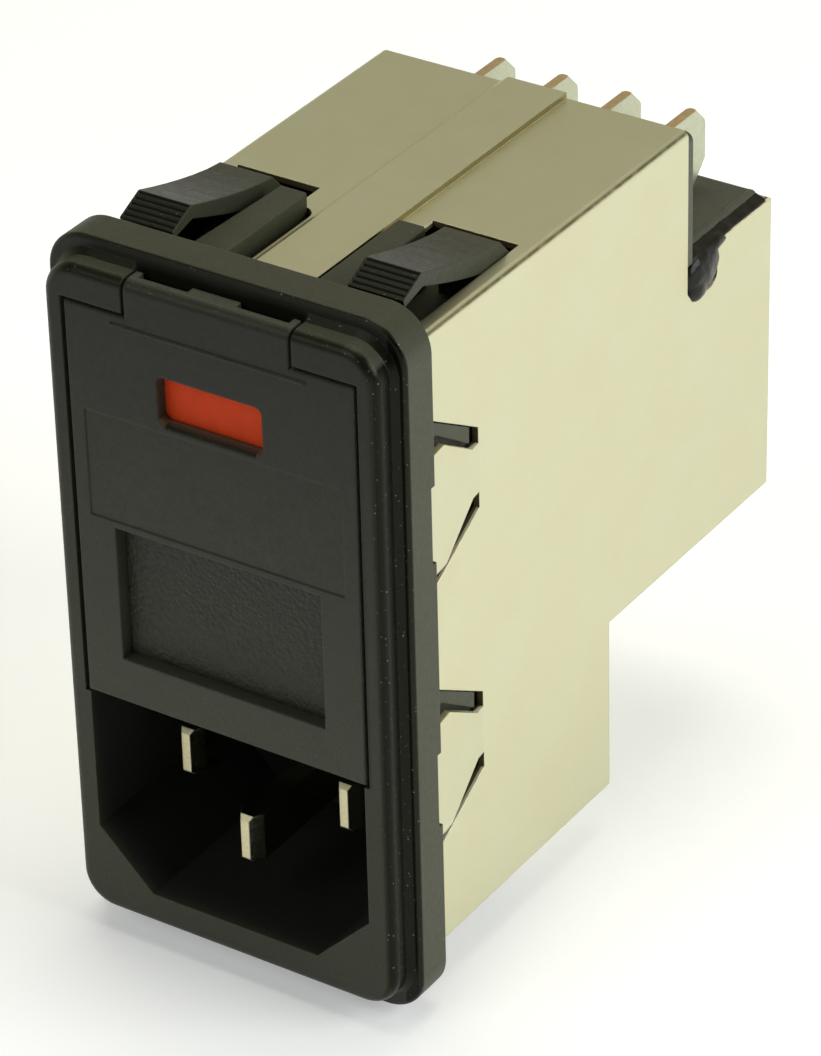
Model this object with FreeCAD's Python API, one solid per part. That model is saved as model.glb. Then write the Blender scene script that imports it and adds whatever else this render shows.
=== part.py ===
"""Snap-in mains power entry filter: inlet, fuse drawer and sheet-metal filter can.

Frame: millimetres, +Z up, front face towards -Y. The origin is the centre of
the back face of the front flange, where the flange seats on the panel.
"""
import FreeCAD
import Part
import math
import os

V = FreeCAD.Vector

# ---- inlet well (24 mm wide connector opening) ----------------------------
WELL_HALF_W = 12.0
WELL_H = 16.52
WELL_TOP = -8.12
WELL_BOTTOM = WELL_TOP - WELL_H
WELL_CHAMFER = 4.65
WELL_WALL = 0.75
WELL_BACK = 11.6
WELL_BACK_T = 1.6
WELL_END = WELL_BACK + WELL_BACK_T
PIN_W = 2.0
PIN_H = 4.0
PIN_X = 7.0
PIN_DROP = 6.28
PIN_Z = WELL_TOP - PIN_DROP
EARTH_DROP = 3.67
EARTH_Z = PIN_Z - EARTH_DROP
PIN_LENGTH = 12.5
PIN_TIP = WELL_BACK - PIN_LENGTH
EARTH_LEAD = 2.7
PIN_TAIL = 3.8
PIN_HEEL = 0.4
PIN_TIP_W = 0.7
PIN_TAPER = 1.1
PIN_NOSE = 0.35
FIT = 0.05

# ---- fuses and their bay --------------------------------------------------
FUSE_LEN = 20.0
CAP_R = 2.6
CAP_LEN = 5.4
CAP_WALL = 0.2
GLASS_WALL = 0.45
GLASS_R = CAP_R - CAP_WALL
GLASS_INSET = 0.5
WIRE_R = 0.12
FUSE_PITCH = 12.0
BLOCK_CLEAR = 0.25
BLOCK_WALL = 0.9
BLOCK_FLOOR = 1.6
FUSE_Y = BLOCK_FLOOR + CAP_R + 0.8
BAY_HALF_W = FUSE_LEN / 2 + BLOCK_CLEAR + BLOCK_WALL + BLOCK_CLEAR
BAY_WALL = 1.35
BAY_ROOF = 1.1
BAY_SILL = 2.32
BAY_BACK = 10.6
BAY_BACK_T = 1.2
CLIP_T = 0.4
CLIP_W = 3.6
CLIP_GAP = 0.06
CLIP_FLARE = 0.55
CLIP_X = FUSE_LEN / 2 - CAP_LEN / 2 + 0.1
CLIP_TAIL = 3.6

# ---- drawer cover ---------------------------------------------------------
FRAME_RISE = 2.2
FLANGE_T = 3.2
FRONT_Y = -FLANGE_T - FRAME_RISE
COVER_GAP = 0.3
BAY_LEDGE = 0.75
COVER_HALF_W = max(WELL_HALF_W + COVER_GAP / 2, BAY_HALF_W + BAY_LEDGE)
COVER_H = 32.52
COVER_BOTTOM = WELL_TOP + 0.14
COVER_TOP = COVER_BOTTOM + COVER_H
COVER_T = FRAME_RISE - FIT
TAB_HALF_W = 6.85
TAB_H = 2.91
TAB_TOP = COVER_TOP + TAB_H
WINDOW_HALF_W = 4.45
WINDOW_H = 3.8
WINDOW_DROP = 3.89
WINDOW_TOP = COVER_TOP - WINDOW_DROP
WINDOW_LIP = 1.0
INSERT_LAP = 0.5
RIDGE_DROP = 0.78
FIELD_MARGIN = 1.25
FIELD_HALF_W = COVER_HALF_W - FIELD_MARGIN
FIELD_H = 8.73
FIELD_DROP = 8.39
FIELD_TOP = COVER_TOP - FIELD_DROP
FIELD_DEPTH = 0.08
GRIP_MARGIN = 3.32
GRIP_HALF_W = COVER_HALF_W - GRIP_MARGIN
GRIP_RISE = 3.74
GRIP_DROP = 0.52
GRIP_BOTTOM = COVER_BOTTOM + GRIP_RISE
GRIP_TOP = FIELD_TOP - FIELD_H - GRIP_DROP
GRIP_DEPTH = 1.15
BAY_HEAD = 4.74
BAY_BOTTOM = WELL_TOP + BAY_SILL
BAY_TOP = COVER_TOP - BAY_HEAD
BAY_MID = (BAY_BOTTOM + BAY_TOP) / 2
FUSE_Z = {"lower": BAY_MID - FUSE_PITCH / 2, "upper": BAY_MID + FUSE_PITCH / 2}

# ---- raised frame and front flange ----------------------------------------
RIM = 1.0
RIM_END = 1.3
FRAME_SIDE = 1.85
FRAME_HALF_W = COVER_HALF_W + FRAME_SIDE
FRAME_TOP = TAB_TOP
FRAME_SILL = 2.81
FRAME_BOTTOM = WELL_BOTTOM - FRAME_SILL
FLANGE_HALF_W = FRAME_HALF_W + RIM
FLANGE_TOP = FRAME_TOP + RIM_END
FLANGE_BOTTOM = FRAME_BOTTOM - RIM_END
FLANGE_R = 3.3
FLANGE_EDGE = 0.35
FRAME_R = FLANGE_R - 0.5
FRAME_EDGE = 0.8
COVE = 0.45
RELIEF_DEPTH = 0.45
RELIEF_H = 6.2

# ---- filter can -----------------------------------------------------------
SHEET = 0.5
CAN_FIT = 0.23
BEND_R = 0.6
HOUSING_HALF_W = max(WELL_HALF_W + WELL_WALL, BAY_HALF_W + BAY_WALL)
CAN_HALF_W = HOUSING_HALF_W + CAN_FIT + SHEET
CAN_BOTTOM = WELL_BOTTOM - WELL_WALL - 0.01 - SHEET
FLANGE_RISE = 3.15
CAN_TOP = FLANGE_TOP - FLANGE_RISE
LOWER_DEPTH = 25.6
UPPER_DEPTH = 37.0
SHELF_DEPTH = 12.5
MID_DEPTH = UPPER_DEPTH + SHELF_DEPTH
SHELF_DROP = 11.2
SHELF_Z = CAN_TOP - SHELF_DROP
STEP_RISE = 15.1
STEP_Z = CAN_BOTTOM + STEP_RISE
SEAM_HALF_W = 3.0
SEAM_JOGGLE = 0.7
NOTCH_LEN = 4.4
NOTCH_DEPTH = 3.45
NOTCH_R = 1.1
NOTCH_STRIP = 0.8
TONGUE_Z = (11.9, -10.3)
TONGUE_FOLD = 7.95
TONGUE_ROOT = 2.0
TONGUE_WAIST = 7.0
TONGUE_HALF_H = 4.85
TONGUE_SHOULDER = 2.5
TONGUE_GAP = 0.35
TONGUE_LIFT = math.radians(7.3)
GAP_ROOT = 3.3
GAP_FLARE = 0.59
KEY_END = 6.9
KEY_GAP = 0.12
KEY_LAP = 0.4
KEY_SINK = 0.1

# ---- snap latches and rails ----------------------------------------------
DECK_T = 1.1
DECK_TOP = BAY_TOP + BAY_ROOF + DECK_T
ROOT_END = 15.2
ROOT_T = 2.6
ARM_MARGIN = 1.58
ARM_W = 4.55
ARM_OUT = CAN_HALF_W - ARM_MARGIN
ARM_IN = ARM_OUT - ARM_W
HEEL_RISE = 1.25
HEEL_Y = 13.6
PEAK_RISE = 3.5
PEAK_Y = 3.7
TOE_Y = 1.35
TOE_DROP = 1.1
ARM_T = 1.1
ARM_HEEL_T = 1.9
ARM_STEPS = 6
ARM_CURVE = 1.4
SHOULDER_RUN = 0.5
SHOULDER_DROP = 1.2
BACK_DROP = 2.1
NOSE_T = 0.55
LOWER_SHIFT = 1.7
RIB_COUNT = 5
RIB_PITCH = 0.46
RIB_START = 0.33
RIB_W = 0.28
RAIL_GAP = 1.17
RAIL_W = 2.3
RAIL_FLARE = 0.7
RAIL_IN = ARM_IN - RAIL_GAP - RAIL_W
RAIL_END = 12.85
CUT_MARGIN = 0.12
CUT_OUTER_X = ARM_OUT + CUT_MARGIN
CUT_INNER_X = RAIL_IN + 0.95
CUT_DEPTH = ROOT_END + 0.7
SLOT_DEPTH = RAIL_END + 0.1
SLOT_R = 1.1

# ---- rear terminal block and blades ---------------------------------------
BLADE_PITCH = 5.64
BLADE_COUNT = 4
BLADE_H = 6.3
BLADE_T = 0.8
BLADE_OUT = 10.6
BLADE_TAIL = 4.0
BLADE_RISE = 1.45
BLADE_Z = SHELF_Z + BLADE_RISE + BLADE_H / 2
BLADE_HOLE_R = 0.8
BLADE_HOLE_IN = 3.6
TIP_TOP = 1.4
TIP_BOTTOM = 1.7
PLATE_T = 0.8
PLATE_FIT = 0.08
PLATE_DROP = 0.5
PAD_T = 0.9
LID_TOP = SHELF_Z + 0.8
LID_T = 1.4
LID_INSET = 1.08
PLUG_T = 2.2

# ---- filter parts ---------------------------------------------------------
CORE_R = 9.2
CORE_BORE = 4.8
CORE_T = 8.0
WINDING_T = 1.0
WINDING_TURNS = 7
BAND_ANGLES = (-64, -20, 20, 64)
CHOKE_GAP = 2.0
CHOKE_Y = UPPER_DEPTH - PLUG_T - CHOKE_GAP - WINDING_T - CORE_T / 2
CHOKE_DROP = 3.4
CHOKE_Z = CAN_TOP - SHEET - CORE_R - WINDING_T - CHOKE_DROP
CHOKE_FRONT = CHOKE_Y - CORE_T / 2 - WINDING_T
POTTING_LAP = 1.8
POTTING_FRONT = min(CHOKE_FRONT + WINDING_T / 2, LOWER_DEPTH - SHEET - POTTING_LAP)
POTTING_GAP = 3.0
RESIN_GAP = 0.02
X_CAP_MARGIN = 4.48
X_CAP_HALF_W = CAN_HALF_W - X_CAP_MARGIN
X_CAP_T = 8.4
X_CAP_H = 14.6
X_CAP_Y = UPPER_DEPTH - PLUG_T - 0.8
X_CAP_Z = STEP_Z + SHEET + 0.3
X_CAP_EDGE = 0.5
DISC_R = 4.3
DISC_T = 3.4
DISC_EDGE = 1.0
DISC_X = 6.0
DISC_GAP = 4.4
DISC_DROP = 3.1
DISC_Y = WELL_END + DISC_GAP
DISC_Z = PIN_Z - DISC_DROP
LEG_R = 0.3
LEG_X = 2.5
LEG_RISE = 3.0
LEG_LEN = 5.0
RES_R = 1.3
RES_LEN = 6.4
RES_CAP_R = 1.55
RES_CAP_LEN = 1.4
RES_LEAD = 7.5
RES_RISE = 4.8
RES_Y = CHOKE_Y + CORE_T / 2 - 0.5
RES_Z = STEP_Z + RES_RISE
LEAD_R = 0.5
LEAD_GAP = 2.4
LEAD_LANE = WELL_END + LEAD_GAP
LEAD_SIDE = 2.4
LEAD_RISE = 4.0
WINDING_TAP = 4.5
TAP_SHIFT = 2.0


def box(x0, x1, y0, y1, z0, z1):
    """Axis-aligned block between two corners."""
    return Part.makeBox(x1 - x0, y1 - y0, z1 - z0, V(x0, y0, z0))


def poly_face(points):
    """Planar face from a closed list of vectors."""
    pts = [V(*p) for p in points]
    return Part.Face(Part.makePolygon(pts + [pts[0]]))


def prism_y(points, y0, y1):
    """Extrude an (x, z) polygon along Y."""
    return poly_face([(x, y0, z) for x, z in points]).extrude(V(0, y1 - y0, 0))


def prism_x(points, x0, x1):
    """Extrude a (y, z) polygon along X."""
    return poly_face([(x0, y, z) for y, z in points]).extrude(V(x1 - x0, 0, 0))


def prism_z(points, z0, z1):
    """Extrude an (x, y) polygon along Z."""
    return poly_face([(x, y, z0) for x, y in points]).extrude(V(0, 0, z1 - z0))


def cyl(radius, length, base, axis):
    """Cylinder from a base point along an axis."""
    return Part.makeCylinder(radius, length, V(*base), V(*axis))


def pick(shape, test):
    """Edges whose bounding box passes a test."""
    return [e for e in shape.Edges if test(e.BoundBox)]


def rounded_plate(x_half, z0, z1, radius, y0, y1):
    """Plate in the XZ plane with rounded corners."""
    plate = box(-x_half, x_half, y0, y1, z0, z1)
    upright = pick(plate, lambda b: b.YLength > 1e-6 and b.XLength < 1e-6 and b.ZLength < 1e-6)
    return plate.makeFillet(radius, upright)


def at_y(shape, y):
    """Edges lying wholly in the plane Y = y."""
    return pick(shape, lambda b: abs(b.YMin - y) < 1e-4 and abs(b.YMax - y) < 1e-4)


def mirror_x(shape):
    """Copy mirrored across the YZ plane."""
    return shape.mirror(V(0, 0, 0), V(1, 0, 0))


def fuse_all(shapes):
    """Union of several solids with shared faces merged."""
    result = shapes[0]
    for item in shapes[1:]:
        result = result.fuse(item)
    return result.removeSplitter()


def cut_all(shape, tools):
    """Subtract several solids."""
    for tool in tools:
        shape = shape.cut(tool)
    return shape


def wire_run(points, radius):
    """Round lead following straight runs, with a ball at each bend."""
    parts = []
    for start, end in zip(points[:-1], points[1:]):
        step = V(*end) - V(*start)
        parts.append(Part.makeCylinder(radius, step.Length, V(*start), step))
    for bend in points[1:-1]:
        parts.append(Part.makeSphere(radius, V(*bend)))
    return fuse_all(parts)


def export(shape, name):
    """Write one node as a single solid."""
    solids = shape.Solids
    if len(solids) != 1:
        raise ValueError("%s has %d solids" % (name, len(solids)))
    solids[0].exportStep(os.path.join("parts", name + ".step"))


def well_outline(grow):
    """Inlet outline: rectangle with the two lower corners cut at an angle."""
    half = WELL_HALF_W + grow
    top = WELL_TOP + grow
    low = WELL_BOTTOM - grow
    cut = WELL_CHAMFER + grow * (2.0 - math.sqrt(2.0))
    return [(-half, top), (half, top), (half, low + cut), (half - cut, low),
            (-half + cut, low), (-half, low + cut)]


def snap_latch():
    """Upper right snap latch: root, curved sprung arm and ribbed nose."""
    heel = CAN_TOP + HEEL_RISE
    peak = CAN_TOP + PEAK_RISE
    toe = peak - TOE_DROP
    root = ROOT_END - ROOT_T
    crown = [(HEEL_Y + (PEAK_Y - HEEL_Y) * i / ARM_STEPS, heel + (peak - heel) * (i / ARM_STEPS) ** ARM_CURVE)
             for i in range(ARM_STEPS + 1)]
    swell = (ARM_HEEL_T - ARM_T) / (HEEL_Y - PEAK_Y)
    under = [(y + 0.1, z - ARM_T - swell * (y - PEAK_Y)) for y, z in reversed(crown[1:])]
    outline = ([(ROOT_END, DECK_TOP - 0.1), (ROOT_END, heel - BACK_DROP),
                (ROOT_END - SHOULDER_RUN, heel - SHOULDER_DROP)] + crown
               + [(TOE_Y, toe), (TOE_Y + 0.15, toe - NOSE_T)] + under
               + [(root, heel - ARM_HEEL_T - 0.5), (root, DECK_TOP - 0.1)])
    arm = prism_x(outline, ARM_IN, ARM_OUT)
    slope = TOE_DROP / (PEAK_Y - TOE_Y)
    for i in range(RIB_COUNT):
        y = TOE_Y + RIB_START + i * RIB_PITCH
        z = toe + slope * (y - TOE_Y)
        groove = prism_x([(y - RIB_W / 2, z + 0.2), (y + RIB_W / 2, z + 0.3), (y + RIB_W / 3, z - 0.13),
                          (y - RIB_W / 3, z - 0.18)], ARM_IN + 0.12, ARM_OUT - 0.12)
        arm = arm.cut(groove)
    return arm


def centring_rail():
    """Upper right rail that centres the body in the panel cut-out."""
    top = CAN_TOP + HEEL_RISE
    outer = RAIL_IN + RAIL_W
    rail = prism_z([(RAIL_IN, 0.0), (outer + RAIL_FLARE, 0.0), (outer, RAIL_END), (RAIL_IN, RAIL_END)],
                   DECK_TOP - 0.1, top)
    return rail.makeFillet(0.2, pick(rail, lambda b: b.ZMin > top - 0.01 and b.YLength > 1))


def four_ways(shape):
    """Copies on both sides, above and, nearer the middle, below the can."""
    middle = (CAN_TOP + CAN_BOTTOM) / 2
    lower = shape.mirror(V(0, 0, middle), V(0, 0, 1))
    lower.translate(V(-LOWER_SHIFT, 0, 0))
    return [shape, mirror_x(shape), lower, mirror_x(lower)]


def gap_half_height(y):
    """Half height of a tongue's flared opening at a depth behind the flange."""
    return GAP_ROOT + GAP_FLARE * (TONGUE_FOLD - y)


def can_keys():
    """Raised keys of the housing sides that stand in the upper slots beside the tongues."""
    keys = []
    for z in TONGUE_Z:
        waist = TONGUE_ROOT + (TONGUE_HALF_H - TONGUE_ROOT) * (TONGUE_WAIST - KEY_END) / (TONGUE_WAIST - TONGUE_SHOULDER)
        outline = [(0.0, TONGUE_HALF_H + KEY_LAP), (TONGUE_SHOULDER + KEY_LAP / 2, TONGUE_HALF_H + KEY_LAP),
                   (KEY_END, waist + KEY_LAP), (KEY_END, gap_half_height(KEY_END) - KEY_GAP),
                   (0.0, gap_half_height(0.0) - KEY_GAP)]
        key = prism_x([(y, z + h) for y, h in outline], HOUSING_HALF_W - 0.5, CAN_HALF_W - KEY_SINK)
        keys += [key, mirror_x(key)]
    return keys


def front_plate():
    """Flange with tongue reliefs, the cove and the raised frame in front of it."""
    flange = rounded_plate(FLANGE_HALF_W, FLANGE_BOTTOM, FLANGE_TOP, FLANGE_R, -FLANGE_T, 0.0)
    flange = flange.makeFillet(FLANGE_EDGE, at_y(flange, -FLANGE_T))
    for z in TONGUE_Z:
        for side in (-1, 1):
            x_in, x_out = sorted((side * CAN_HALF_W, side * (FLANGE_HALF_W + 0.5)))
            flange = flange.cut(box(x_in, x_out, -RELIEF_DEPTH, 0.1, z - RELIEF_H / 2, z + RELIEF_H / 2))
    frame = rounded_plate(FRAME_HALF_W, FRAME_BOTTOM, FRAME_TOP, FRAME_R, FRONT_Y, -FLANGE_T)
    frame = frame.makeFillet(FRAME_EDGE, at_y(frame, FRONT_Y))
    skirt = rounded_plate(FRAME_HALF_W + COVE, FRAME_BOTTOM - COVE, FRAME_TOP + COVE, FRAME_R + COVE,
                          -FLANGE_T - COVE, -FLANGE_T)
    skirt = skirt.makeChamfer(COVE - 0.01, at_y(skirt, -FLANGE_T - COVE))
    return [flange, frame, skirt]


def front_housing(inserts):
    """Moulded flange, raised frame, inlet well, fuse bay, latches and keys."""
    bay_half = BAY_HALF_W + BAY_WALL
    bay = box(-bay_half, bay_half, 0.0, BAY_BACK + BAY_BACK_T, WELL_TOP, BAY_TOP + BAY_ROOF)
    deck = box(-bay_half, bay_half, 0.0, ROOT_END, BAY_TOP + BAY_ROOF - 0.1, DECK_TOP)
    well = prism_y(well_outline(WELL_WALL), 0.0, WELL_END)
    bridges = [box(x, x + ARM_W, WELL_BACK, ROOT_END, CAN_TOP + CAN_BOTTOM - DECK_TOP - 0.2,
                   WELL_BOTTOM + WELL_CHAMFER) for x in (ARM_IN - LOWER_SHIFT, LOWER_SHIFT - ARM_OUT)]
    body = fuse_all(front_plate() + [bay, deck, well] + bridges + four_ways(snap_latch())
                    + four_ways(centring_rail()) + can_keys())
    half = COVER_HALF_W + COVER_GAP
    tab_half = TAB_HALF_W + COVER_GAP
    cuts = [
        prism_y(well_outline(0.0), FRONT_Y - 1.0, WELL_BACK),
        box(-half, half, FRONT_Y - 1.0, -FLANGE_T, WELL_TOP, COVER_TOP + COVER_GAP),
        box(-tab_half, tab_half, FRONT_Y - 1.0, -FLANGE_T, COVER_TOP, FRAME_TOP + 1.0),
        box(-BAY_HALF_W, BAY_HALF_W, FRONT_Y, BAY_BACK, BAY_BOTTOM, BAY_TOP),
    ]
    return cut_all(cut_all(body, cuts), inserts)


def drawer_cover():
    """T-shaped cover with grip tab, window, label field and grip recess."""
    back = FRONT_Y + COVER_T
    plate = box(-COVER_HALF_W, COVER_HALF_W, FRONT_Y, back, COVER_BOTTOM, COVER_TOP)
    tab = box(-TAB_HALF_W, TAB_HALF_W, FRONT_Y, back - 0.4, COVER_TOP - 1.0, TAB_TOP)
    tab = tab.makeFillet(FRAME_EDGE, pick(tab, lambda b: b.YMax < FRONT_Y + 1e-4 and b.ZMin > TAB_TOP - 0.01))
    plate = fuse_all([plate, tab])
    rim = pick(plate, lambda b: b.YMax < FRONT_Y + 1e-4 and b.YMin > FRONT_Y - 1e-4
               and b.ZMax < COVER_TOP + 0.01)
    plate = plate.makeChamfer(0.12, rim)
    window_low = WINDOW_TOP - WINDOW_H
    window = box(-WINDOW_HALF_W, WINDOW_HALF_W, FRONT_Y - 1, back + 1, window_low, WINDOW_TOP)
    window = window.makeFillet(0.6, pick(window, lambda b: b.YLength > 1))
    lip = prism_x([(FRONT_Y - 0.1, window_low - 0.35), (FRONT_Y - 0.1, window_low + 0.6),
                   (FRONT_Y + 0.6, window_low + 0.6), (FRONT_Y + 0.6, window_low)],
                  -WINDOW_HALF_W + 0.6, WINDOW_HALF_W - 0.6)
    seat = box(-WINDOW_HALF_W - INSERT_LAP, WINDOW_HALF_W + INSERT_LAP, FRONT_Y + WINDOW_LIP, back + 1,
               window_low - INSERT_LAP, WINDOW_TOP + INSERT_LAP)
    field = box(-FIELD_HALF_W, FIELD_HALF_W, FRONT_Y - 1, FRONT_Y + FIELD_DEPTH,
                FIELD_TOP - FIELD_H, FIELD_TOP)
    grip = box(-GRIP_HALF_W, GRIP_HALF_W, FRONT_Y - 1, FRONT_Y + GRIP_DEPTH,
               GRIP_BOTTOM, GRIP_TOP)
    pry_y = FRONT_Y + COVER_T / 2
    pry_z = COVER_TOP + (TAB_TOP - COVER_TOP) * 0.3
    scoops = [box(-TAB_HALF_W + 0.55, -TAB_HALF_W * 0.31, pry_y, back + 1, pry_z, TAB_TOP + 1),
              box(TAB_HALF_W * 0.28, TAB_HALF_W - 0.55, pry_y, back + 1, pry_z, TAB_TOP + 1)]
    plate = cut_all(plate, [window, lip, seat, field, grip] + scoops)
    ridge_z = COVER_TOP - RIDGE_DROP
    ridge = box(-TAB_HALF_W - 1.35, TAB_HALF_W + 1.35, FRONT_Y - 0.1, FRONT_Y + 0.2,
                ridge_z - 0.1, ridge_z + 0.1)
    return fuse_all([plate, ridge])


def window_insert():
    """Red selector window that seats behind the cover opening."""
    lap = INSERT_LAP - FIT
    return box(-WINDOW_HALF_W - lap, WINDOW_HALF_W + lap, FRONT_Y + WINDOW_LIP, FRONT_Y + COVER_T,
               WINDOW_TOP - WINDOW_H - lap, WINDOW_TOP + lap)


def fuse_block():
    """Fuse carrier behind the cover: base, end walls and saddles."""
    x1 = BAY_HALF_W - BLOCK_CLEAR
    z0, z1 = BAY_BOTTOM + BLOCK_CLEAR, BAY_TOP - BLOCK_CLEAR
    front = FRONT_Y + COVER_T
    wall_in = FUSE_LEN / 2 + BLOCK_CLEAR
    tall = FUSE_Y + CAP_R
    parts = [box(-x1, x1, front, BLOCK_FLOOR, z0, z1),
             box(wall_in, x1, front, tall, z0, z1),
             box(-x1, -wall_in, front, tall, z0, z1)]
    saddle_half = FUSE_LEN / 2 - CAP_LEN - 1.0
    parts.append(box(-saddle_half, saddle_half, BLOCK_FLOOR, FUSE_Y + GLASS_R * 0.66, z0, z1))
    block = fuse_all(parts)
    tools = []
    for z in FUSE_Z.values():
        tools.append(cyl(GLASS_R, FUSE_LEN, (-FUSE_LEN / 2, FUSE_Y, z), (1, 0, 0)))
        tools.append(box(-saddle_half - 0.1, saddle_half + 0.1, FUSE_Y, tall + 1,
                         z - GLASS_R * 0.96, z + GLASS_R * 0.96))
    return cut_all(block, tools)


def fuse_parts(z):
    """Glass tube, two end caps and the fine wire of one 5 x 20 fuse."""
    half = FUSE_LEN / 2
    inside = half - GLASS_INSET
    glass = cyl(GLASS_R, 2 * inside, (-inside, FUSE_Y, z), (1, 0, 0)).cut(
        cyl(GLASS_R - GLASS_WALL, FUSE_LEN, (-half, FUSE_Y, z), (1, 0, 0)))
    caps = []
    for side in (-1, 1):
        cap = cyl(CAP_R, CAP_LEN, (side * half, FUSE_Y, z), (-side, 0, 0))
        cap = cap.makeFillet(0.35, pick(cap, lambda b: b.XLength < 1e-6 and abs(abs(b.XMin) - half) < 1e-4))
        caps.append(cap.cut(cyl(GLASS_R, CAP_LEN, (side * inside, FUSE_Y, z), (-side, 0, 0))))
    strand = cyl(WIRE_R, 2 * inside, (-inside, FUSE_Y, z), (1, 0, 0))
    return glass, caps, strand


def fuse_clip(side, z):
    """Spring contact: web and two arms around a fuse cap, with a rear tail."""
    x0 = side * CLIP_X - CLIP_W / 2
    gap = CAP_R + CLIP_GAP
    mouth = FUSE_Y - CAP_R + 0.1
    bend = FUSE_Y - CAP_R * 0.55
    inner = [(mouth, gap + CLIP_FLARE), (bend, gap), (BAY_BACK - CLIP_T, gap)]
    outer = [(BAY_BACK, gap + CLIP_T), (bend - 0.1, gap + CLIP_T), (mouth - 0.15, gap + CLIP_FLARE + CLIP_T)]
    pts = [(y, z + h) for y, h in inner]
    pts += [(y, z - h) for y, h in reversed(inner)]
    pts += [(y, z - h) for y, h in reversed(outer)]
    pts += [(y, z + h) for y, h in outer]
    clip = prism_x(pts, x0, x0 + CLIP_W)
    tail = box(x0 + CLIP_W / 3, x0 + CLIP_W * 2 / 3, BAY_BACK - 0.1, BAY_BACK + CLIP_TAIL, z - 0.25, z + 0.25)
    return fuse_all([clip, tail])


def inlet_pin(x, z, tip):
    """Rectangular inlet contact, coined to a narrow tip, with a narrow tail."""
    half, tall, nose = PIN_W / 2, PIN_H / 2, PIN_TIP_W / 2
    end = WELL_END + PIN_HEEL
    plan = prism_z([(x - nose, tip), (x + nose, tip), (x + half, tip + PIN_TAPER), (x + half, end),
                    (x - half, end), (x - half, tip + PIN_TAPER)], z - tall, z + tall)
    side = prism_x([(tip, z - tall + PIN_NOSE), (tip + PIN_NOSE, z - tall), (end, z - tall), (end, z + tall),
                    (tip + PIN_NOSE, z + tall), (tip, z + tall - PIN_NOSE)], x - half, x + half)
    tail = box(x - PIN_W * 0.2, x + PIN_W * 0.2, WELL_END, WELL_END + PIN_TAIL,
               z - PIN_H * 0.4, z + PIN_H * 0.4)
    return fuse_all([plan.common(side), tail])


def blade_terminal(x):
    """Flat push-on terminal with a tapered tip, a centre hole and a tail."""
    z0, z1 = BLADE_Z - BLADE_H / 2, BLADE_Z + BLADE_H / 2
    tail0, tail1 = z0 + BLADE_H / 4, z1 - BLADE_H / 4
    inner = UPPER_DEPTH - 0.8
    tip = UPPER_DEPTH + BLADE_OUT
    start = UPPER_DEPTH - BLADE_TAIL
    blade = prism_x([(start, tail0), (inner, tail0), (inner, z0), (tip - TIP_BOTTOM, z0), (tip, z0 + TIP_BOTTOM),
                     (tip, z1 - TIP_TOP), (tip - TIP_TOP, z1), (inner, z1), (inner, tail1), (start, tail1)],
                    x - BLADE_T / 2, x + BLADE_T / 2)
    blade = blade.makeChamfer(BLADE_T / 4, pick(blade, lambda b: b.YMin > tip - 2.1 and b.YLength < 2.0
                                                and b.XLength < 1e-6))
    return blade.cut(cyl(BLADE_HOLE_R, BLADE_T * 3, (x - BLADE_T, tip - BLADE_HOLE_IN, BLADE_Z), (1, 0, 0)))


def can_outline(inset, front, above):
    """Side profile of the can, inset by a distance, open at the front and shelf."""
    return [(front, CAN_TOP - inset), (UPPER_DEPTH + above, CAN_TOP - inset),
            (UPPER_DEPTH + above, SHELF_Z + above), (MID_DEPTH - inset, SHELF_Z + above),
            (MID_DEPTH - inset, STEP_Z + inset), (LOWER_DEPTH - inset, STEP_Z + inset),
            (LOWER_DEPTH - inset, CAN_BOTTOM + inset), (front, CAN_BOTTOM + inset)]


def spring_tongue(z):
    """Contact tongue on the +X side, lanced free of the sheet and lifted about its fold."""
    length = (TONGUE_FOLD - TONGUE_GAP) / math.cos(TONGUE_LIFT)
    away = (CAN_HALF_W + length * math.sin(TONGUE_LIFT), TONGUE_GAP)
    inner = (away[0] - SHEET * math.cos(TONGUE_LIFT), away[1] - SHEET * math.sin(TONGUE_LIFT))
    mitre = TONGUE_FOLD - SHEET * math.tan(TONGUE_LIFT / 2)
    strip = prism_z([(CAN_HALF_W, TONGUE_FOLD), away, inner, (CAN_HALF_W - SHEET, mitre),
                     (CAN_HALF_W - SHEET, TONGUE_FOLD)], z - TONGUE_HALF_H, z + TONGUE_HALF_H)
    upper = [(0.0, TONGUE_HALF_H), (TONGUE_SHOULDER, TONGUE_HALF_H), (TONGUE_WAIST, TONGUE_ROOT),
             (TONGUE_FOLD, TONGUE_ROOT)]
    outline = [(y, z + h) for y, h in upper] + [(y, z - h) for y, h in reversed(upper)]
    return strip.common(prism_x(outline, CAN_HALF_W - 2 * SHEET, away[0] + SHEET))


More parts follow.
